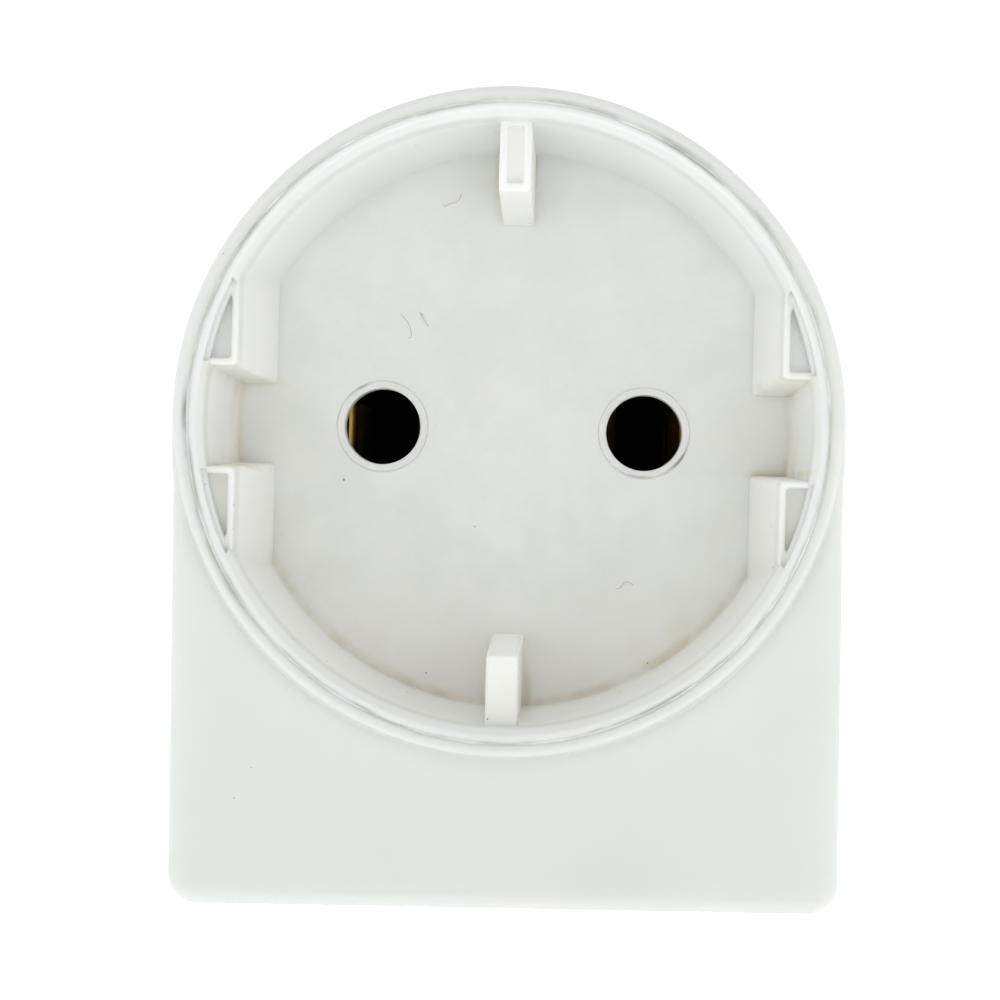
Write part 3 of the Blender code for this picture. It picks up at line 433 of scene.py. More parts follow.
class Shader:
    """Node material under construction, with short ways to wire up procedural detail."""

    def __init__(self, name):
        self.material = bpy.data.materials.new(name)
        self.material.use_nodes = True
        self.tree = self.material.node_tree
        self.surface = self.tree.nodes["Principled BSDF"]
        self.place = self.tree.nodes.new("ShaderNodeTexCoord").outputs["Object"]

    def node(self, kind, inputs=None, **settings):
        """New node, with its inputs by name or number."""
        made = self.tree.nodes.new(kind)
        for key, value in settings.items():
            setattr(made, key, value)
        for key, value in (inputs or {}).items():
            self.plug(value, made.inputs[key])
        return made

    def plug(self, value, socket):
        if isinstance(value, bpy.types.NodeSocket):
            self.tree.links.new(value, socket)
        else:
            socket.default_value = value

    def math(self, operation, first, second=0.0, third=0.0):
        made = self.node("ShaderNodeMath", operation=operation)
        for socket, value in zip(made.inputs, (first, second, third)):
            self.plug(value, socket)
        return made.outputs[0]

    def scaled(self, value, factor, offset):
        return self.math("MULTIPLY_ADD", value, factor, offset)

    def size(self, value):
        return self.math("ABSOLUTE", value)

    def placed(self, shift, stretch=(1.0, 1.0, 1.0)):
        """Object coordinates, stretched and moved along the diagonal."""
        moved = {"Vector": self.place, "Scale": stretch, "Location": (shift, shift, shift)}
        return self.node("ShaderNodeMapping", moved).outputs[0]

    def noise(self, scale, detail=3.0, roughness=0.5, stretch=(1.0, 1.0, 1.0), shift=0.0):
        inputs = {"Vector": self.placed(shift, stretch), "Scale": scale}
        inputs.update(Detail=detail, Roughness=roughness)
        return self.node("ShaderNodeTexNoise", inputs).outputs["Fac"]

    def ramp(self, value, start, end, low=0.0, high=1.0):
        """Smooth step of value from start to end."""
        made = self.node("ShaderNodeMapRange", interpolation_type="SMOOTHSTEP")
        for socket, given in zip(made.inputs, (value, start, end, low, high)):
            self.plug(given, socket)
        return made.outputs[0]

    def band(self, value, middle, reach):
        """One at the middle, falling smoothly to nought at the reach on either side."""
        return self.ramp(self.size(self.math("SUBTRACT", value, middle)), 0.0, reach, 1.0, 0.0)

    def mix(self, factor, first, second):
        made = self.node("ShaderNodeMix", data_type="RGBA")
        self.plug(factor, made.inputs["Factor"])
        for socket, value in ((made.inputs["A"], first), (made.inputs["B"], second)):
            if not isinstance(value, bpy.types.NodeSocket):
                value = (*value, 1.0)
            self.plug(value, socket)
        return made.outputs["Result"]

    def product(self, *values):
        return functools.reduce(functools.partial(self.math, "MULTIPLY"), values)

    def most(self, *values):
        return functools.reduce(functools.partial(self.math, "MAXIMUM"), values)

    def axes(self):
        """X, Y and level of the front view, and the radius from the socket's axis, in mm."""
        split = self.node("ShaderNodeSeparateXYZ", {0: self.place})
        x, depth, y = (self.product(out, 1.0 / MM) for out in split.outputs)
        return x, y, self.product(depth, -1.0), self.distance(x, y)

    def distance(self, x, y):
        return self.math("SQRT", self.math("ADD", self.product(x, x), self.product(y, y)))

    def specks(self, scale, size, keep, shift=0.0):
        """Sparse dark grains: only cells whose random value is above keep hold one."""
        cells = self.node("ShaderNodeTexVoronoi", {"Vector": self.placed(shift), "Scale": scale})
        tone = self.node("ShaderNodeSeparateColor", {0: cells.outputs["Color"]})
        chosen = self.math("GREATER_THAN", tone.outputs[0], keep)
        reach = self.scaled(tone.outputs[1], size, size * 0.35)
        close = self.ramp(self.math("DIVIDE", cells.outputs["Distance"], reach), 0.6, 1.0, 1.0, 0.0)
        return self.product(chosen, close)

    def bump(self, height, distance, strength):
        inputs = {"Height": height, "Distance": distance, "Strength": strength}
        made = self.node("ShaderNodeBump", inputs)
        self.plug(made.outputs["Normal"], self.surface.inputs["Normal"])

    def set(self, **values):
        for key, value in values.items():
            socket = self.surface.inputs[key.replace("_", " ").title().replace("Ior", "IOR")]
            if isinstance(value, tuple) and len(value) == 3 and socket.type == "RGBA":
                value = (*value, 1.0)
            self.plug(value, socket)
        return self.material


GRIME = (0.07, 0.065, 0.055)
# Brown stain, also used as painted shade at the cup's floor edge
STAIN_AND_SHADE = (0.58, 0.43, 0.20)
# Yellowing, also used as painted shade low in the socket cup
YELLOWING_AND_SHADE = (0.80, 0.74, 0.55)
RIM_GREY = (0.805, 0.82, 0.795)
FLOOR_GREY = (0.83, 0.845, 0.825)


def moulded(name, colour, shade):
    """White moulded plastic: faint cloudy colour, satin sheen that varies, and a fine skin."""
    made = Shader(name)
    cloud = made.noise(90.0, 4.0)
    fine = made.noise(1400.0, 2.0)
    tone = made.mix(made.ramp(cloud, 0.35, 0.7), colour, shade)
    made.set(roughness=made.scaled(cloud, 0.16, 0.26), specular_ior_level=0.42)
    made.set(subsurface_weight=0.5, subsurface_scale=2.0 * MM, subsurface_radius=(1.0, 0.9, 0.75))
    made.bump(fine, 0.012 * MM, 0.5)
    return made, tone


def shell_plastic():
    """Cool white of the housing, with dirt along the seam of the collar and a few marks."""
    made, tone = moulded("shell_white", (0.725, 0.752, 0.73), (0.71, 0.737, 0.712))
    x, y, level, radius = made.axes()
    front = made.ramp(level, RIM / MM - 0.9, RIM / MM - 0.5)
    patchy = made.ramp(made.noise(170.0, 3.0, 0.6), 0.47, 0.66)
    seam = made.product(made.band(radius, BORE_RADIUS / MM, 0.42), front)
    left_side = made.product(made.ramp(x, -20.6, -21.6), made.ramp(made.size(y), 7.0, 4.0))
    low_right = made.product(made.ramp(x, 16.0, 19.0), made.ramp(y, -3.0, -6.0))
    packed = made.scaled(made.most(left_side, low_right), 0.55, 0.35)
    seam = made.product(seam, made.scaled(patchy, packed, 0.02))
    halo = made.product(made.band(radius, BORE_RADIUS / MM + 0.1, 0.9), front, 0.12)
    grains = made.most(made.specks(420.0, 0.028, 0.97), made.specks(900.0, 0.07, 0.985, 3.0))
    tone = made.mix(halo, tone, YELLOWING_AND_SHADE)
    tone = made.mix(seam, tone, GRIME)
    tone = made.mix(made.product(grains, 0.8), tone, GRIME)
    return made.set(base_color=tone)


def insert_plastic():
    """Warmer white of the socket cup, stained where plugs rub and where dust settles, with painted shade
    and painted light on the lower part of its floor.
    """
    made, tone = moulded("insert_white", (0.96, 0.965, 0.94), (0.945, 0.95, 0.92))
    x, y, level, radius = made.axes()
    floor, rim = FLOOR / MM, RIM / MM
    away, height = made.size(x), made.size(y)
    cloudy = made.ramp(made.noise(260.0, 4.0, 0.62), 0.36, 0.68)
    patchy = made.ramp(made.noise(150.0, 3.0, 0.6, shift=1.0), 0.45, 0.66)
    streaks = made.ramp(made.noise(500.0, 3.0, 0.6, stretch=(1.0, 0.12, 1.0)), 0.4, 0.7)

    # Keyways: brown lines on the lower blocks, yellow ones under the upper blocks
    beside = made.product(made.ramp(away, 16.4, 17.6), made.ramp(away, 20.6, 20.0))
    low_line = made.product(made.band(y, -3.05, 0.42), beside, 0.6)
    high_line = made.product(made.band(y, 3.15, 0.6), beside, 0.55)
    deep = made.ramp(level, rim - 3.0, floor + 1.0)
    corner = made.product(made.band(radius, 19.95, 0.45), made.ramp(height, 3.6, 2.8), deep)
    rubbed = made.product(low_line, made.scaled(cloudy, 0.6, 0.12))
    keyed = made.most(
        made.product(high_line, cloudy),
        made.product(corner, made.scaled(cloudy, 0.6, 0.2)),
    )

    # Floor edge: a brown stain with painted shade, darkest in the lower half where shade falls, with
    # short streaks up the wall
    at_floor = made.ramp(level, floor + 2.2, floor + 0.1)
    low_half = made.ramp(y, 2.0, -13.0)
    ring = made.product(made.band(radius, 20.05, 0.95), at_floor, low_half)
    ring = made.product(ring, made.scaled(made.most(cloudy, streaks), 0.28, 0.08))

    # Thin broken line in the ring round each hole
    off_pin = made.math("SUBTRACT", away, PIN_X / MM)
    ringed = made.band(made.distance(off_pin, y), HOLE_RING / MM, 0.16)
    ringed = made.product(ringed, made.ramp(level, floor + 0.3, floor + 0.1), patchy, 0.75)

    # Beside the two ribs
    by_rib = made.product(
        made.band(away, 1.25, 0.55), made.ramp(height, 14.4, 15.4), deep, made.scaled(patchy, 0.45, 0.05)
    )

    # Near the rim the surfaces are a little greyer than the walls. The floor is greyer too, except
    # towards the bottom, where less grey is painted as light against the shade from the wall.
    near_rim = made.ramp(level, rim - 3.4, rim - 2.3)
    floor_grey_and_painted_light = made.product(made.ramp(level, floor + 0.25, floor + 0.02), made.ramp(y, -18.0, -10.0))
    tone = made.mix(made.product(near_rim, 0.85), tone, RIM_GREY)
    # Painted light: the floor's grey fades out towards the bottom, lightening the shade there
    tone = made.mix(made.product(floor_grey_and_painted_light, made.scaled(cloudy, 0.3, 0.7)), tone, FLOOR_GREY)

    # Brown stains where plugs rub and beside the ribs, and the floor edge's stain with its painted shade
    stain_and_shade = made.most(rubbed, ring, by_rib)
    # Partly a yellowed film and partly painted shade: yellower over the lower half near the wall and
    # darker towards the bottom of the floor
    film_and_shade = made.product(made.band(radius, 19.0, 4.0), low_half, cloudy, 0.22)
    low_film_and_shade = made.product(
        made.ramp(y, -10.0, -18.0), made.ramp(level, floor + 1.5, floor + 0.2), 0.12
    )
    at_rim = made.ramp(level, rim - 0.6, rim - 0.2)
    seam = made.product(made.band(radius, CUP_RADIUS / MM - 0.03, 0.3), at_rim, patchy, 0.45)
    by_edge = made.product(made.band(radius, 19.5, 1.7), low_half)
    grains = made.most(
        made.specks(380.0, 0.04, 0.94),
        made.specks(900.0, 0.08, 0.97, 2.0),
        made.product(made.specks(1000.0, 0.13, 0.86, 7.0), made.ramp(by_edge, 0.25, 0.6)),
    )
    tone = made.mix(made.most(film_and_shade, low_film_and_shade, keyed), tone, YELLOWING_AND_SHADE)
    tone = made.mix(stain_and_shade, tone, STAIN_AND_SHADE)
    tone = made.mix(made.most(seam, ringed), tone, GRIME)
    tone = made.mix(made.product(grains, 0.75), tone, GRIME)
    return made.set(base_color=tone)


def plain(
    name, colour, shade, roughness, metallic=0.0, scale=300.0, grain=0.01,
    stretch=(1, 1, 1), mottle=0.3, specular=0.5,
):
    """General finish: two close tones through noise, uneven sheen and a fine relief."""
    made = Shader(name)
    coarse = made.noise(scale, 4.0, 0.55, stretch)
    fine = made.noise(scale * 7.0, 3.0, 0.6, stretch)
    tone = made.mix(made.ramp(coarse, 0.5 - mottle / 2.0, 0.5 + mottle / 2.0), colour, shade)
    sheen = made.scaled(fine, 0.2, roughness - 0.1)
    made.set(base_color=tone, roughness=sheen, metallic=metallic, specular_ior_level=specular)
    made.bump(fine, grain * MM, 0.6)
    return made.material


def board_finish():
    """Solder mask over copper tracks, with vias."""
    made = Shader("board_green")
    inputs = {"Vector": made.place, "Scale": 260.0, "Mortar Size": 0.035}
    tracks = made.node("ShaderNodeTexBrick", inputs)
    vias = made.specks(500.0, 0.22, 0.9)
    tone = made.mix(tracks.outputs["Fac"], (0.012, 0.12, 0.045), (0.02, 0.2, 0.08))
    tone = made.mix(vias, tone, (0.62, 0.6, 0.52))
    made.bump(tracks.outputs["Fac"], 0.02 * MM, 0.6)
    return made.set(base_color=tone, roughness=made.scaled(vias, -0.1, 0.38))


SHELL_WHITE = shell_plastic()
INSERT_WHITE = insert_plastic()
BRASS = plain("brass", (0.80, 0.56, 0.20), (0.62, 0.41, 0.12), 0.32, 1.0, 420.0, stretch=(1, 1, 0.2))
NICKEL = plain("nickel", (0.72, 0.70, 0.66), (0.62, 0.60, 0.56), 0.24, 1.0, 380.0, 0.006, (1, 0.15, 1))
STEEL = plain("steel", (0.56, 0.57, 0.58), (0.45, 0.46, 0.47), 0.34, 1.0, 500.0)
BLACK_PLASTIC = plain("black_plastic", (0.012, 0.012, 0.013), (0.02, 0.02, 0.021), 0.42, scale=500.0)
# Near-black with almost no sheen: painted shade for the holes in the cup's floor
CARRIER_PAINTED_SHADE = plain("carrier_painted_shade", (0.003, 0.003, 0.003), (0.006, 0.006, 0.006), 0.7, specular=0.08)
DUST = plain("seam_dust", (0.60, 0.61, 0.56), (0.80, 0.81, 0.76), 0.9, grain=0.05)
LINT = plain("lint", (0.40, 0.36, 0.31), (0.52, 0.48, 0.42), 0.8, scale=900.0)
BUTTON_WHITE = plain("button_white", (0.72, 0.745, 0.725), (0.70, 0.725, 0.70), 0.3, scale=150.0)

# Finishes of the CAD nodes that stay as they are, by material slot, with plain()'s arguments
INNER = {
    "carrier_white": ((0.74, 0.74, 0.69), (0.70, 0.70, 0.64), 0.45, 0.0, 200.0),
    "wire_brown": ((0.20, 0.075, 0.025), (0.15, 0.055, 0.02), 0.4, 0.0, 260.0, 0.02),
    "wire_blue": ((0.03, 0.12, 0.50), (0.02, 0.09, 0.40), 0.4, 0.0, 260.0, 0.02),
    "fibre": ((0.70, 0.63, 0.48), (0.58, 0.51, 0.37), 0.75, 0.0, 350.0, 0.04, (1, 1, 0.25), 0.5),
    "component_blue": ((0.04, 0.17, 0.50), (0.03, 0.12, 0.38), 0.28, 0.0, 160.0, 0.03),
    "component_yellow": ((0.78, 0.55, 0.08), (0.68, 0.46, 0.06), 0.35, 0.0, 180.0),
    "ferrite": ((0.06, 0.06, 0.065), (0.11, 0.105, 0.10), 0.6, 0.0, 700.0, 0.05, (1, 1, 1), 0.5),
    "winding_tape": ((0.82, 0.62, 0.12), (0.74, 0.53, 0.09), 0.25, 0.0, 220.0, 0.02, (1, 8, 1)),
    "chip_black": ((0.025, 0.025, 0.027), (0.045, 0.045, 0.047), 0.55, 0.0, 1200.0, 0.02),
    "aluminium": ((0.74, 0.75, 0.76), (0.62, 0.63, 0.64), 0.36, 1.0, 300.0, 0.02, (0.1, 1, 1)),
    "lamp": ((0.84, 0.83, 0.76), (0.78, 0.76, 0.66), 0.3, 0.0, 200.0),
}
INNER = {slot: plain(slot, *values) for slot, values in INNER.items()}
INNER.update(
    brass=BRASS, nickel=NICKEL, steel=STEEL, black_plastic=BLACK_PLASTIC, board_green=board_finish()
)


def clear_plastic():
    """Slightly milky clear plastic of the light guide."""
    made = Shader("clear_plastic")
    haze = made.noise(500.0, 3.0)
    tone = made.mix(haze, (0.80, 0.83, 0.83), (0.90, 0.92, 0.91))
    made.bump(haze, 0.01 * MM, 0.4)
    made.set(transmission_weight=0.7, ior=1.49)
    return made.set(base_color=tone, roughness=made.scaled(haze, 0.15, 0.16))


CLEAR = clear_plastic()


# ---- front casing

def make_front_casing():
    """Arch-shaped front with the raised collar, hollow behind, and its side openings."""
    base = solid(arch, SPLIT, FACE, round_low=0.15 * MM, round_high=EDGE, steps=8)
    rim_round, fillet = 0.42 * MM, 0.3 * MM
    inside, foot, root = BORE_RADIUS - CLEARANCE, COLLAR_RADIUS + fillet * 1.1, FACE - CLEARANCE
    profile = [(inside, RIM)]
    profile += arc(COLLAR_RADIUS - rim_round, RIM - rim_round, rim_round, 90.0, 0.0, 8)
    profile += arc(COLLAR_RADIUS + fillet, FACE + fillet, fillet, 180.0, 270.0, 8)[1:8]
    profile += [(foot, FACE - 0.02 * MM), (foot, root), (inside, root)]
    collar = temporary(lathe(profile, ring=True))
    meet(collar, solid(lambda inset, level=0.0: arch(0.03 * MM), BACK, RIM + CLEARANCE))
    weld(base, collar)

    well_end, shoulder = CUP_BACK + 2.2 * MM, CUP_BACK - GAP
    lower_half, well = HALF_WIDTH - WALL - GAP, BORE_RADIUS + 1.35 * MM

    def lower_room(inset, level=0.0):
        turn = math.degrees(math.acos(lower_half / well))
        floor = BOTTOM + WALL + GAP
        under_cup = arc(0.0, 0.0, well, 360.0 - turn, 180.0 + turn, 48)
        return under_cup + [(-lower_half, floor), (lower_half, floor)]

    carve(
        base,
        solid(lambda inset, level=0.0: arch(WALL + inset), SPLIT - CLEARANCE, well_end),
        opening(circle_at(0.0, 0.0, BORE_RADIUS, STEPS), shoulder, RIM, 0.08 * MM),
        solid(lower_room, well_end - CLEARANCE, FACE - WALL),
    )
    post_low, post_high, bore_end = SPLIT + GAP, FACE - WALL + GAP, 33.0 * MM
    posts, ways = [], []
    for x in (-SCREW_X, SCREW_X):
        posts.append(solid(circle_at(x, SCREW_Y, 2.9 * MM), post_low, post_high))
        ways.append(solid(circle_at(x, SCREW_Y, 1.5 * MM), SPLIT - CLEARANCE, bore_end))
    weld(base, *posts)
    jack_half, jack_top = JACK_HIGH.x + GAP, JACK_HIGH.z + GAP
    jack_way = rectangle_at((-jack_half, -jack_top), (jack_half, CLEARANCE - SPLIT), 0.3 * MM)
    ways.append(facing_down(mouth(jack_way, -BOTTOM - WALL - CLEARANCE, -BOTTOM, 0.2 * MM)))
    button_way = stadium_at(BUTTON_Y, CONTROL_LEVEL, 9.6 * MM, 5.2 * MM)
    ways.append(opening(button_way, HALF_WIDTH - 4.0 * MM, HALF_WIDTH, 0.2 * MM, sideways=1))
    for y in LIGHTS:
        window = circle_at(y, CONTROL_LEVEL, 1.35 * MM, 48)
        ways.append(facing_left(mouth(window, HALF_WIDTH - 3.0 * MM, HALF_WIDTH, 0.15 * MM)))
    carve(base, *ways)
    return piece("front_casing", base, SHELL_WHITE, ("front_shell",))


# ---- socket cup

def drafted(at_floor, at_front):
    """Size that changes evenly from the cup's floor to its rim."""
    return lambda level: at_floor + (at_front - at_floor) * (level - FLOOR) / (RIM - FLOOR)


FLAT = drafted(17.22 * MM, 18.1 * MM)
KEYWAY = drafted(2.9 * MM, 3.4 * MM)
RIB_INNER = drafted(14.8 * MM, 15.6 * MM)
RIB_HALF = drafted(1.15 * MM, 1.06 * MM)


def block_outline(inset, level):
    """Slice of the cup beside a flat, from the keyway to where the flat meets the wall."""
    flat, low = FLAT(level) + inset, KEYWAY(level) + inset
    turn = 0.35 * MM
    radius = 20.6 * MM
    start = math.degrees(math.asin(low / radius))
    end = math.degrees(math.acos(flat / radius))
    points = arc(flat + turn, low + turn, turn, 180.0, 270.0, 5)
    return points + arc(0.0, 0.0, radius, start, end, 24)


def pocket_outline(inset, level):
    """Room in a block, which narrows with its depth."""
    draft = (BLOCK_TOP - level) * 0.012
    flat = FLAT(BLOCK_TOP) + 0.45 * MM + draft + inset
    low = KEYWAY(BLOCK_TOP) + 0.45 * MM + draft + inset
    turn = 0.25 * MM
    radius = 20.3 * MM - draft - inset
    start = math.degrees(math.asin(low / radius))
    end = math.degrees(math.acos(flat / radius)) - 1.0
    points = [(flat, radius * math.sin(math.radians(end)) - 0.2 * MM)]
    points += arc(flat + turn, low + turn, turn, 180.0, 270.0, 5)
    return points + arc(0.0, 0.0, radius, start, end, 24)


def rib_outline(flip):
    """Rib at 12 or 6 o'clock, rooted in the wall."""
    def outline(inset, level):
        half = RIB_HALF(level) - inset
        inner = RIB_INNER(level) + inset
        turn = 0.25 * MM
        points = arc(turn - half, inner + turn, turn, 180.0, 270.0, 4)
        points += arc(half - turn, inner + turn, turn, 270.0, 360.0, 4)
        points += [(half, 20.5 * MM), (-half, 20.5 * MM)]
        return points if flip > 0 else [(x, -y) for x, y in points[::-1]]
    return outline


def make_socket_cup():
    """Recessed cup: drafted wall, keyed blocks with pockets, two ribs and two floor holes."""
    inside = [(0.0, FLOOR), (FLOOR_RADIUS, FLOOR), (RECESS_RADIUS, RIM - 0.7 * MM)]
    rim = [(RECESS_RADIUS + 0.45 * MM, RIM), (CUP_RADIUS - 0.1 * MM, RIM)]
    outside = [(CUP_RADIUS, RIM - 0.1 * MM), (CUP_RADIUS, CUP_BACK), (0.0, CUP_BACK)]
    base = temporary(lathe(bent(inside + rim + outside, 0.28 * MM)))
    solids, rooms = [], []
    for flip_x, flip_y in ((-1, -1), (-1, 1), (1, -1), (1, 1)):
        block = mirrored(block_outline, flip_x, flip_y)
        solids.append(solid(block, FLOOR - CLEARANCE, BLOCK_TOP, round_high=0.2 * MM))
        pocket = mirrored(pocket_outline, flip_x, flip_y)
        rooms.append(opening(pocket, BLOCK_TOP - POCKET_DEPTH, BLOCK_TOP, 0.25 * MM))
    for flip in (-1, 1):
        rib = rib_outline(flip)
        solids.append(solid(rib, FLOOR - CLEARANCE, RIB_TOP, round_high=0.22 * MM))
    weld(base, *solids)

    def slot_outline(inset, level):
        half, draft = 0.56 * MM, (RIB_TOP - level) * 0.02
        low = (draft - half, RIB_INNER(RIB_TOP) + 0.55 * MM + draft)
        return rectangle_at(low, (half - draft, 19.9 * MM - draft), 0.2 * MM)(inset, level)

    rooms.append(opening(slot_outline, RIB_TOP - SLOT_DEPTH, RIB_TOP, 0.12 * MM))
    shape = ((-0.1, 1.0), (-0.07, 0.0), (0.0, -0.12), (0.07, 0.0), (0.1, 1.0))
    groove = [(HOLE_RING + off * MM, FLOOR + up * MM) for off, up in shape]
    for x in (-PIN_X, PIN_X):
        hole = circle_at(x, 0.0, HOLE_RADIUS, 96)
        rooms.append(opening(hole, CUP_BACK - CLEARANCE, FLOOR, 0.12 * MM))
        rooms.append(temporary(lathe(groove, 96, x, ring=True)))
    carve(base, *rooms)
    return piece(
        "socket_cup", base, INSERT_WHITE, ("socket_insert",), turn=INSERT_TURN
    )


def make_seam_dust():
    """Dust packed in the seam between cup and collar, a little below the rim and uneven."""
    inner, outer, low = CUP_RADIUS - 0.02 * MM, BORE_RADIUS + 0.02 * MM, RIM - 2.0 * MM
    work = bmesh.new()
    steps = 720
    rows = []
    for step in range(steps):
        angle = 2.0 * math.pi * step / steps
        around = Vector((math.cos(angle), math.sin(angle), 0.0))
        high = RIM - 0.1 * MM - 0.09 * MM * noise.noise(around * 9.0)
        corners = ((inner, high), (outer, high), (outer, low), (inner, low))
        rows.append([
            work.verts.new(around * radius + Vector((0.0, 0.0, level))) for radius, level in corners
        ])
    for first, second in zip(rows, rows[1:] + rows[:1]):
        for here in range(4):
            there = (here + 1) % 4
            work.faces.new((first[here], second[here], second[there], first[there]))
    return piece("seam_dust", temporary(work), DUST)


def make_lint():
    """Short wavy lint hairs that lie on the cup's floor."""
    thickness = 0.02 * MM
    section = arc(0.0, 0.0, thickness, 0.0, 360.0, 6)[:-1]
    for number, (x, y, reach, turn) in enumerate(HAIRS):
        path = []
        for step in range(33):
            t = step / 32.0
            angle = turn + 2.4 * math.sin(2.6 * t + turn)
            path.append((
                (x + reach * (t - 0.5) * math.cos(turn) + 0.28 * math.sin(angle)) * MM,
                (y + reach * (t - 0.5) * math.sin(turn) + 0.28 * math.cos(1.3 * angle)) * MM,
                FLOOR + thickness + 0.02 * MM * (1.0 + math.sin(9.0 * t + turn)),
            ))
        hair = swept(path, section, (0.0, 0.0, 1.0))
        piece(f"lint_{number + 1}", temporary(hair), LINT, smooth=80.0)


def make_carrier():
    """Moulding behind the cup, painted near-black as the shade seen down the floor holes: a tube round
    each contact, with a web round its legs.
    """
    plate_back, plate_front = CUP_BACK - 2.3 * MM, CUP_BACK - GAP
    web_low, web_high = 20.4 * MM, 21.4 * MM
    length, width = CARRIER_HIGH.x - CARRIER_LOW.x, CARRIER_HIGH.y - CARRIER_LOW.y
    plate = stadium_at(0.0, 0.0, length, width)
    base = solid(plate, plate_back, plate_front, 0.3 * MM, 0.3 * MM)
    tubes, rooms, webs = [], [], []
    for x in (-PIN_X, PIN_X):
        radii = (4.6 * MM, HOLE_RADIUS + GAP, 3.9 * MM, 4.2 * MM)
        tube, bore, chamber, disc = (circle_at(x, 0.0, radius) for radius in radii)
        tubes.append(solid(tube, CARRIER_LOW.z, plate_front - CLEARANCE, 0.2 * MM))
        rooms.append(solid(bore, plate_back - CLEARANCE, plate_front + CLEARANCE))
        rooms.append(solid(chamber, CARRIER_LOW.z - CLEARANCE, plate_front - 0.8 * MM))
        web = solid(disc, web_low, web_high)
        for leg in (x - CONTACT_LEG, x + CONTACT_LEG):
            slot = rectangle_at((leg - 0.45 * MM, -2.1 * MM), (leg + 0.45 * MM, 2.1 * MM), 0.1 * MM)
            carve(web, solid(slot, web_low - 0.4 * MM, web_high + 0.6 * MM))
        webs.append(web)
    weld(base, *tubes)
    carve(base, *rooms)
    weld(base, *webs)
    return piece("carrier", base, CARRIER_PAINTED_SHADE, ("contact_carrier",))


def make_contacts():
    """Brass strips folded into two springy leaves that flare at the mouth, each on a stem.

    The left contact has slipped sideways, so that one leaf shows in its hole.
    """
    root, base_level = 26.0 * MM, 19.0 * MM
    half_width, half_thickness, soft = 1.9 * MM, 0.225 * MM, 0.1 * MM
    section = four_ways([(half_width, half_thickness - soft), (half_width - soft, half_thickness)])
    for side, slip, spread in (("left", 0.2 * MM, 0.0), ("right", 0.0, 0.17 * MM)):
        node = f"contact_{side}"
        low, high = span(node)
        x = (low.x + high.x) / 2.0 + slip
        tip = [(3.0 * MM + spread, high.z - 0.2 * MM), (2.68 * MM + spread, high.z - 0.4 * MM)]
        leg = [(2.1 * MM, high.z - 3.2 * MM), (CONTACT_LEG, root), (CONTACT_LEG, base_level)]
        leaf = bent(tip + leg + [(0.0, base_level)], 1.2 * MM, 8)
        path = [(x - along, 0.0, level) for along, level in leaf]
        path += [(x + along, 0.0, level) for along, level in leaf[-2::-1]]
        strip = temporary(swept(path, section, (0.0, 1.0, 0.0)))
        weld(strip, solid(circle_at(x, 0.0, 1.2 * MM, 48), low.z, base_level, 0.15 * MM))
        piece(f"leaf_{node}", strip, BRASS, (node,))


# ---- rear casing, plug pins and screws

def boss_outline(inset, level=0.0):
    """Round plug with flats, a guide on each side, and a notch for earth clips above and below."""
    radius, flat = 18.7 * MM - inset, 17.3 * MM - inset
    guide_half, guide_reach = 2.7 * MM - inset, 19.1 * MM - inset
    notch_half, notch_reach = 3.2 * MM + inset, 14.4 * MM - inset
    taper = 0.15 * MM
    flat_end = math.degrees(math.acos(flat / radius))
    notch_end = math.degrees(math.acos(notch_half / radius))
    quarter = [(guide_reach, 0.0), (guide_reach, guide_half - taper - 0.25 * MM)]
    quarter += [(guide_reach - 0.25 * MM, guide_half - taper), (flat, guide_half)]
    quarter += arc(0.0, 0.0, radius, flat_end, notch_end, 40)
    quarter += [(notch_half - taper, notch_reach), (0.0, notch_reach)]
    return four_ways(quarter)


def boss_room(inset, level=0.0):
    """Hollow of the boss, kept inside its flats and notches."""
    radius, across, up = 16.4 * MM, 15.0 * MM, 12.2 * MM
    start = math.degrees(math.acos(across / radius))
    end = math.degrees(math.asin(up / radius))
    quarter = [(across, 0.0)] + arc(0.0, 0.0, radius, start, end, 12) + [(0.0, up)]
    return four_ways(quarter)


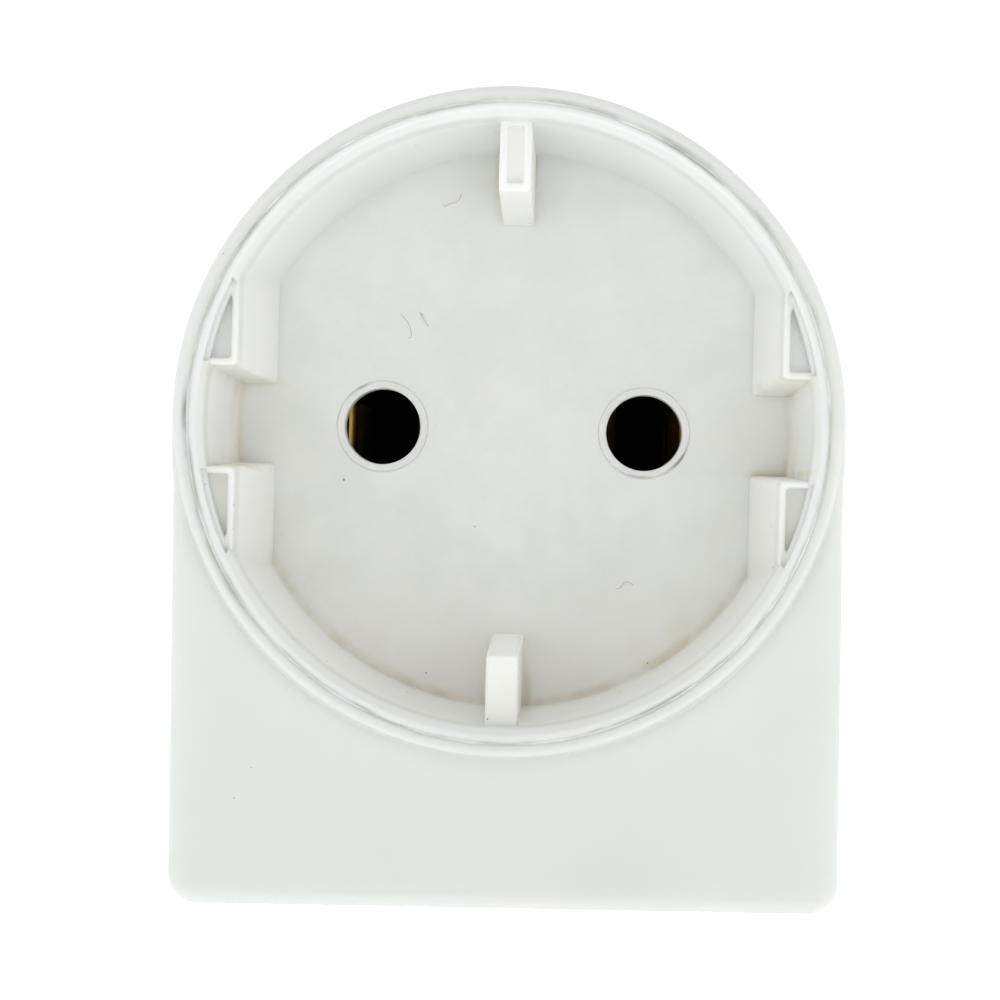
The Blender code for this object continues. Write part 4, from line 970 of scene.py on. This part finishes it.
def make_rear_casing():
    """Back half with the keyed plug boss, pin holes and screw wells."""
    inner_back = BACK + WALL
    base = solid(arch, BACK, REAR_TOP, round_low=EDGE, round_high=0.15 * MM, steps=8)
    weld(base, solid(boss_outline, 0.0, BACK + CLEARANCE, round_low=0.6 * MM))
    carve(base, solid(lambda inset, level=0.0: arch(WALL), inner_back, REAR_TOP + CLEARANCE))
    outside, inside, soft = WALL + GAP, WALL + 1.2 * MM, 0.2 * MM
    lip = temporary(fence([
        (inner_back - GAP, arch(outside)),
        (REAR_HIGH.z - soft, arch(outside)),
        (REAR_HIGH.z, arch(outside + soft)),
        (REAR_HIGH.z, arch(inside)),
        (inner_back - GAP, arch(inside)),
    ]))
    cutters = []
    for left, low, right, high in LIP_GAPS:
        gap = rectangle_at((left * MM, low * MM), (right * MM, high * MM))
        cutters.append(solid(gap, BACK, REAR_HIGH.z + CLEARANCE))
    carve(lip, *cutters)
    foot = BACK + CLEARANCE
    towers = [
        solid(circle_at(x, SCREW_Y, 3.4 * MM), foot, REAR_TOP - GAP) for x in (-SCREW_X, SCREW_X)
    ]
    for x, y in BOARD_POSTS:
        towers.append(solid(circle_at(x * MM, y * MM, 1.2 * MM, 24), foot, 19.9 * MM))
    weld(base, lip, *towers)
    carve(base, solid(boss_room, 3.0 * MM, inner_back + 4.0 * MM))
    weld(base, solid(circle_at(0.0, 0.0, 2.6 * MM), 2.0 * MM, 4.6 * MM, 0.0, 0.2 * MM))
    ways = [solid(circle_at(0.0, 0.0, 1.2 * MM, 24), 1.4 * MM, 6.0 * MM)]
    for side in (-1, 1):
        pin = circle_at(side * PIN_X, 0.0, PIN_RADIUS + 0.06 * MM)
        head = circle_at(side * SCREW_X, SCREW_Y, SCREW_HEAD + GAP)
        shank = circle_at(side * SCREW_X, SCREW_Y, 1.6 * MM, 32)
        ways.append(facing_back(mouth(pin, -4.0 * MM, 0.0, 0.15 * MM)))
        ways.append(facing_back(mouth(head, -18.9 * MM, -BACK, 0.2 * MM)))
        ways.append(solid(shank, BACK, REAR_TOP + CLEARANCE))
    carve(base, *ways)
    return piece("rear_casing", base, SHELL_WHITE, ("rear_shell",))


def make_pins():
    """Nickel-plated plug pins with round tips, each with a flange and a stub inside."""
    neck, flange, flange_low, flange_high = 1.5 * MM, 3.6 * MM, 3.3 * MM, 4.6 * MM
    tip = PIN_LOW.z
    profile = [(0.0, PIN_HIGH.z), (neck, PIN_HIGH.z), (neck, flange_high), (flange, flange_high)]
    profile += [(flange, flange_low), (PIN_RADIUS, flange_low)]
    for step in range(13):
        angle = math.radians(90.0 * step / 12)
        radius = PIN_RADIUS * (0.25 + 0.75 * math.cos(angle))
        profile.append((radius, tip + 2.0 * MM * (1.0 - math.sin(angle))))
    profile.append((0.0, tip))
    for side, x in (("left", -PIN_X), ("right", PIN_X)):
        base = temporary(lathe(profile, 96, x))
        piece(f"pin_{side}", base, NICKEL, (f"plug_pin_{side}",))


def make_case_screws():
    """Pan-head screws with a cross recess and a rolled thread."""
    for side in ("left", "right"):
        node = f"screw_{side}"
        low, high = span(node)
        x, y = (low.x + high.x) / 2.0, (low.y + high.y) / 2.0
        head, seat = SCREW_HEAD, low.z + 1.4 * MM
        dome = ((0.0, 0.02), (0.45, 0.03), (0.78, 0.2), (0.95, 0.55))
        profile = [(head * part, low.z + up * MM) for part, up in dome]
        profile += [(head, seat - 0.3 * MM), (head, seat), (1.05 * MM, seat)]
        turns, pitch, groove, crest = 10, 1.0 * MM, 1.02 * MM, 1.3 * MM
        for turn in range(turns):
            start = seat + 0.6 * MM + turn * pitch
            profile += [(groove, start), (crest, start + pitch * 0.35), (groove, start + pitch * 0.7)]
        profile += [(0.5 * MM, high.z - 0.3 * MM), (0.0, high.z)]
        base = temporary(lathe(profile, 64, x, y))
        cross = []
        for wide, tall in ((1.55 * MM, 0.32 * MM), (0.32 * MM, 1.55 * MM)):
            arm = rectangle_at((x - wide, y - tall), (x + wide, y + tall), 0.08 * MM)
            cross.append(solid(arm, low.z - CLEARANCE, low.z + 0.85 * MM))
        carve(base, *cross)
        piece(f"case_screw_{side}", base, STEEL, (node,))


# ---- network jack and side controls

def make_jack():
    """Jack body with a latch step in its cavity, and a slot and a spring for each contact."""
    low, high = HOUSING_LOW, HOUSING_HIGH
    outside = rectangle_at((low.x, -high.z), (high.x, -low.z), 0.35 * MM)
    base = facing_down(rounded(outside, -high.y, -low.y, 0.15 * MM, 0.2 * MM))
    rooms = []
    for half_width, depth, under, over in JACK_ROOMS:
        room = rectangle_at((-half_width * MM, -over * MM), (half_width * MM, -under * MM), 0.15 * MM)
        rooms.append(facing_down(mouth(room, -low.y - depth * MM, -low.y, 0.25 * MM)))
    ways = [(way - (JACK_WAYS - 1) / 2.0) * JACK_PITCH for way in range(JACK_WAYS)]
    for x in ways:
        slot = rectangle_at((x - 0.33 * MM, -28.15 * MM), (x + 0.33 * MM, -27.05 * MM), 0.1 * MM)
        rooms.append(solid(slot, low.z - CLEARANCE, 25.0 * MM))
    carve(base, *rooms)
    piece("jack_body", base, BLACK_PLASTIC, ("jack_housing",))

    section = arc(0.0, 0.0, 0.19 * MM, 0.0, 360.0, 10)[:-1]
    back, bend_level, end = -27.6 * MM, 24.95 * MM, (-19.55 * MM, 27.85 * MM)
    for way, x in enumerate(ways):
        node = f"jack_contact_{way + 1}"
        foot = span(node)[0].z + 0.02 * MM
        profile = bent([(back, foot), (back, bend_level), end], 0.55 * MM, 8)
        spring = swept([(x, y, level) for y, level in profile], section)
        piece(f"jack_spring_{way + 1}", temporary(spring), BRASS, (node,))


def make_button():
    """Push button: a soft-edged cap with a shallow dish, and a stop flange inside the wall."""
    flange_outside = HALF_WIDTH - WALL - GAP
    cap = stadium_at(BUTTON_Y, CONTROL_LEVEL, 9.0 * MM, 4.6 * MM, 32)
    base = solid(cap, BUTTON_LOW.x + 0.3 * MM, BUTTON_HIGH.x, 0.0, 0.55 * MM, 8, sideways=1)
    flange = stadium_at(BUTTON_Y, CONTROL_LEVEL, 10.8 * MM, 6.4 * MM, 32)
    weld(base, solid(flange, BUTTON_LOW.x, flange_outside, 0.1 * MM, 0.1 * MM, sideways=1))
    dish = stadium_at(BUTTON_Y, CONTROL_LEVEL, 7.0 * MM, 2.6 * MM, 32)
    carve(base, opening(dish, BUTTON_HIGH.x - 0.16 * MM, BUTTON_HIGH.x, 0.3 * MM, sideways=1))
    piece("button_cap", base, BUTTON_WHITE, ("pair_button",), body=BUTTON_BODY)


def make_light_bar():
    """Clear bar on two feet, with a round domed finger for each window."""
    inner, outer, low, high = 17.0 * MM, 19.3 * MM, 24.0 * MM, 27.2 * MM
    reach = LIGHT_SPACING + 2.2 * MM
    bar = rectangle_at((LIGHTS_Y - reach, low), (LIGHTS_Y + reach, high), 0.5 * MM)
    base = facing_left(rounded(bar, inner, outer, 0.2 * MM, 0.2 * MM))
    more = []
    for y in LIGHTS:
        finger = circle_at(y, CONTROL_LEVEL, 1.18 * MM, 48)
        more.append(facing_left(rounded(finger, outer - 0.5 * MM, -GUIDE_LOW.x, 0.0, 0.4 * MM)))
    for side in (-1, 1):
        y, half = LIGHTS_Y + side * LIGHT_SPACING / 2.0, 0.5 * MM
        foot = rectangle_at((-18.4 * MM, y - half), (-17.4 * MM, y + half), 0.12 * MM)
        more.append(solid(foot, GUIDE_LOW.z, low + 0.6 * MM))
    weld(base, *more)
    piece("light_bar", base, CLEAR, ("light_guide",))


def finish_inner_nodes():
    """Gives each CAD node that still shows its own finish, and softens its edges."""
    slots = {part["node"]: part["material_slot"] for part in frame["record"]["subparts"]}
    for name, made in frame["nodes"].items():
        if name in REPLACED:
            continue
        finish = INNER[slots[name]]
        for place in made.material_slots:
            place.material = finish
        joined = made.modifiers.new("Joined", "WELD")
        joined.merge_threshold = 0.001 * MM
        edge = made.modifiers.new("Soft edges", "BEVEL")
        edge.width = 0.1 * MM
        edge.segments = 2
        edge.limit_method = "ANGLE"
        edge.angle_limit = math.radians(50.0)
        edge.use_clamp_overlap = True
        made.data.shade_smooth()
        level = made.modifiers.new("Flat faces stay flat", "WEIGHTED_NORMAL")
        level.keep_sharp = True


# ---- stage, light and camera

def make_stage():
    """Plain pale floor under the adapter."""
    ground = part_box("front_shell")[0].z
    work = bmesh.new()
    bmesh.ops.create_grid(work, x_segments=8, y_segments=8, size=30.0)
    mesh = bpy.data.meshes.new("floor")
    work.to_mesh(mesh)
    work.free()
    floor = put("floor", mesh)
    floor.location = (0.0, 0.0, ground)
    made = Shader("floor_paper")
    grain = made.noise(40.0, 2.0)
    made.set(emission_color=(1.0, 1.0, 1.0), emission_strength=FLOOR_GLOW, specular_ior_level=0.0)
    paper = made.mix(grain, (0.91, 0.91, 0.91), (0.93, 0.93, 0.93))
    mesh.materials.append(made.set(base_color=paper, roughness=0.95))


def make_light():
    """White studio all round: full behind the adapter, softer above and in front of it."""
    world = bpy.data.worlds.new("studio")
    world.use_nodes = True
    tree = world.node_tree
    background = tree.nodes["Background"]
    place = tree.nodes.new("ShaderNodeTexCoord")
    split = tree.nodes.new("ShaderNodeSeparateXYZ")
    behind = tree.nodes.new("ShaderNodeMapRange")
    behind.interpolation_type = "SMOOTHSTEP"
    tree.links.new(place.outputs["Generated"], split.inputs[0])
    tree.links.new(split.outputs["Y"], behind.inputs["Value"])
    for name, value in (
        ("From Min", -0.25), ("From Max", 0.35), ("To Min", FRONT_LIGHT), ("To Max", BACK_LIGHT)
    ):
        behind.inputs[name].default_value = value
    tree.links.new(behind.outputs[0], background.inputs["Strength"])
    background.inputs["Color"].default_value = (1.0, 1.0, 1.0, 1.0)
    bpy.context.scene.world = world

    for place in ((-0.55, -0.42, 0.05), (0.55, -0.42, 0.05), (0.0, -0.42, 0.55)):
        lamp = bpy.data.lights.new("softbox", "AREA")
        lamp.shape = "RECTANGLE"
        lamp.size, lamp.size_y = 0.4, 0.4
        lamp.energy = SOFTBOX_WATTS
        softbox = put("softbox", lamp)
        softbox.location = place
        softbox.rotation_euler = (-softbox.location).to_track_quat("-Z", "Y").to_euler()
        softbox.visible_camera = False
        softbox.visible_glossy = False


def make_camera():
    """Camera at the height of the socket, looking at it almost squarely."""
    camera = bpy.data.cameras.new("camera")
    camera.lens = 92.4
    camera.sensor_width = 36.0
    camera.clip_start = 0.01
    camera.clip_end = 100.0
    made = put("camera", camera)
    made.location = (3.95 * MM, -224.0 * MM, -5.05 * MM)
    yaw, pitch, roll = math.radians(1.485), math.radians(-0.02), math.radians(0.835)
    made.rotation_mode = "QUATERNION"
    flat = math.cos(pitch)
    aim = Vector((-math.sin(yaw) * flat, math.cos(yaw) * flat, math.sin(pitch)))
    upright = aim.to_track_quat("-Z", "Y").to_matrix()
    made.rotation_quaternion = (upright @ Matrix.Rotation(roll, 3, "Z")).to_quaternion()
    bpy.context.scene.camera = made
    bpy.context.scene.view_settings.view_transform = "Standard"
    bpy.context.scene.view_settings.look = "None"


make_front_casing()
make_socket_cup()
make_seam_dust()
make_lint()
make_carrier()
make_contacts()
make_rear_casing()
make_pins()
make_case_screws()
make_jack()
make_button()
make_light_bar()
finish_inner_nodes()
make_stage()
make_light()
make_camera()
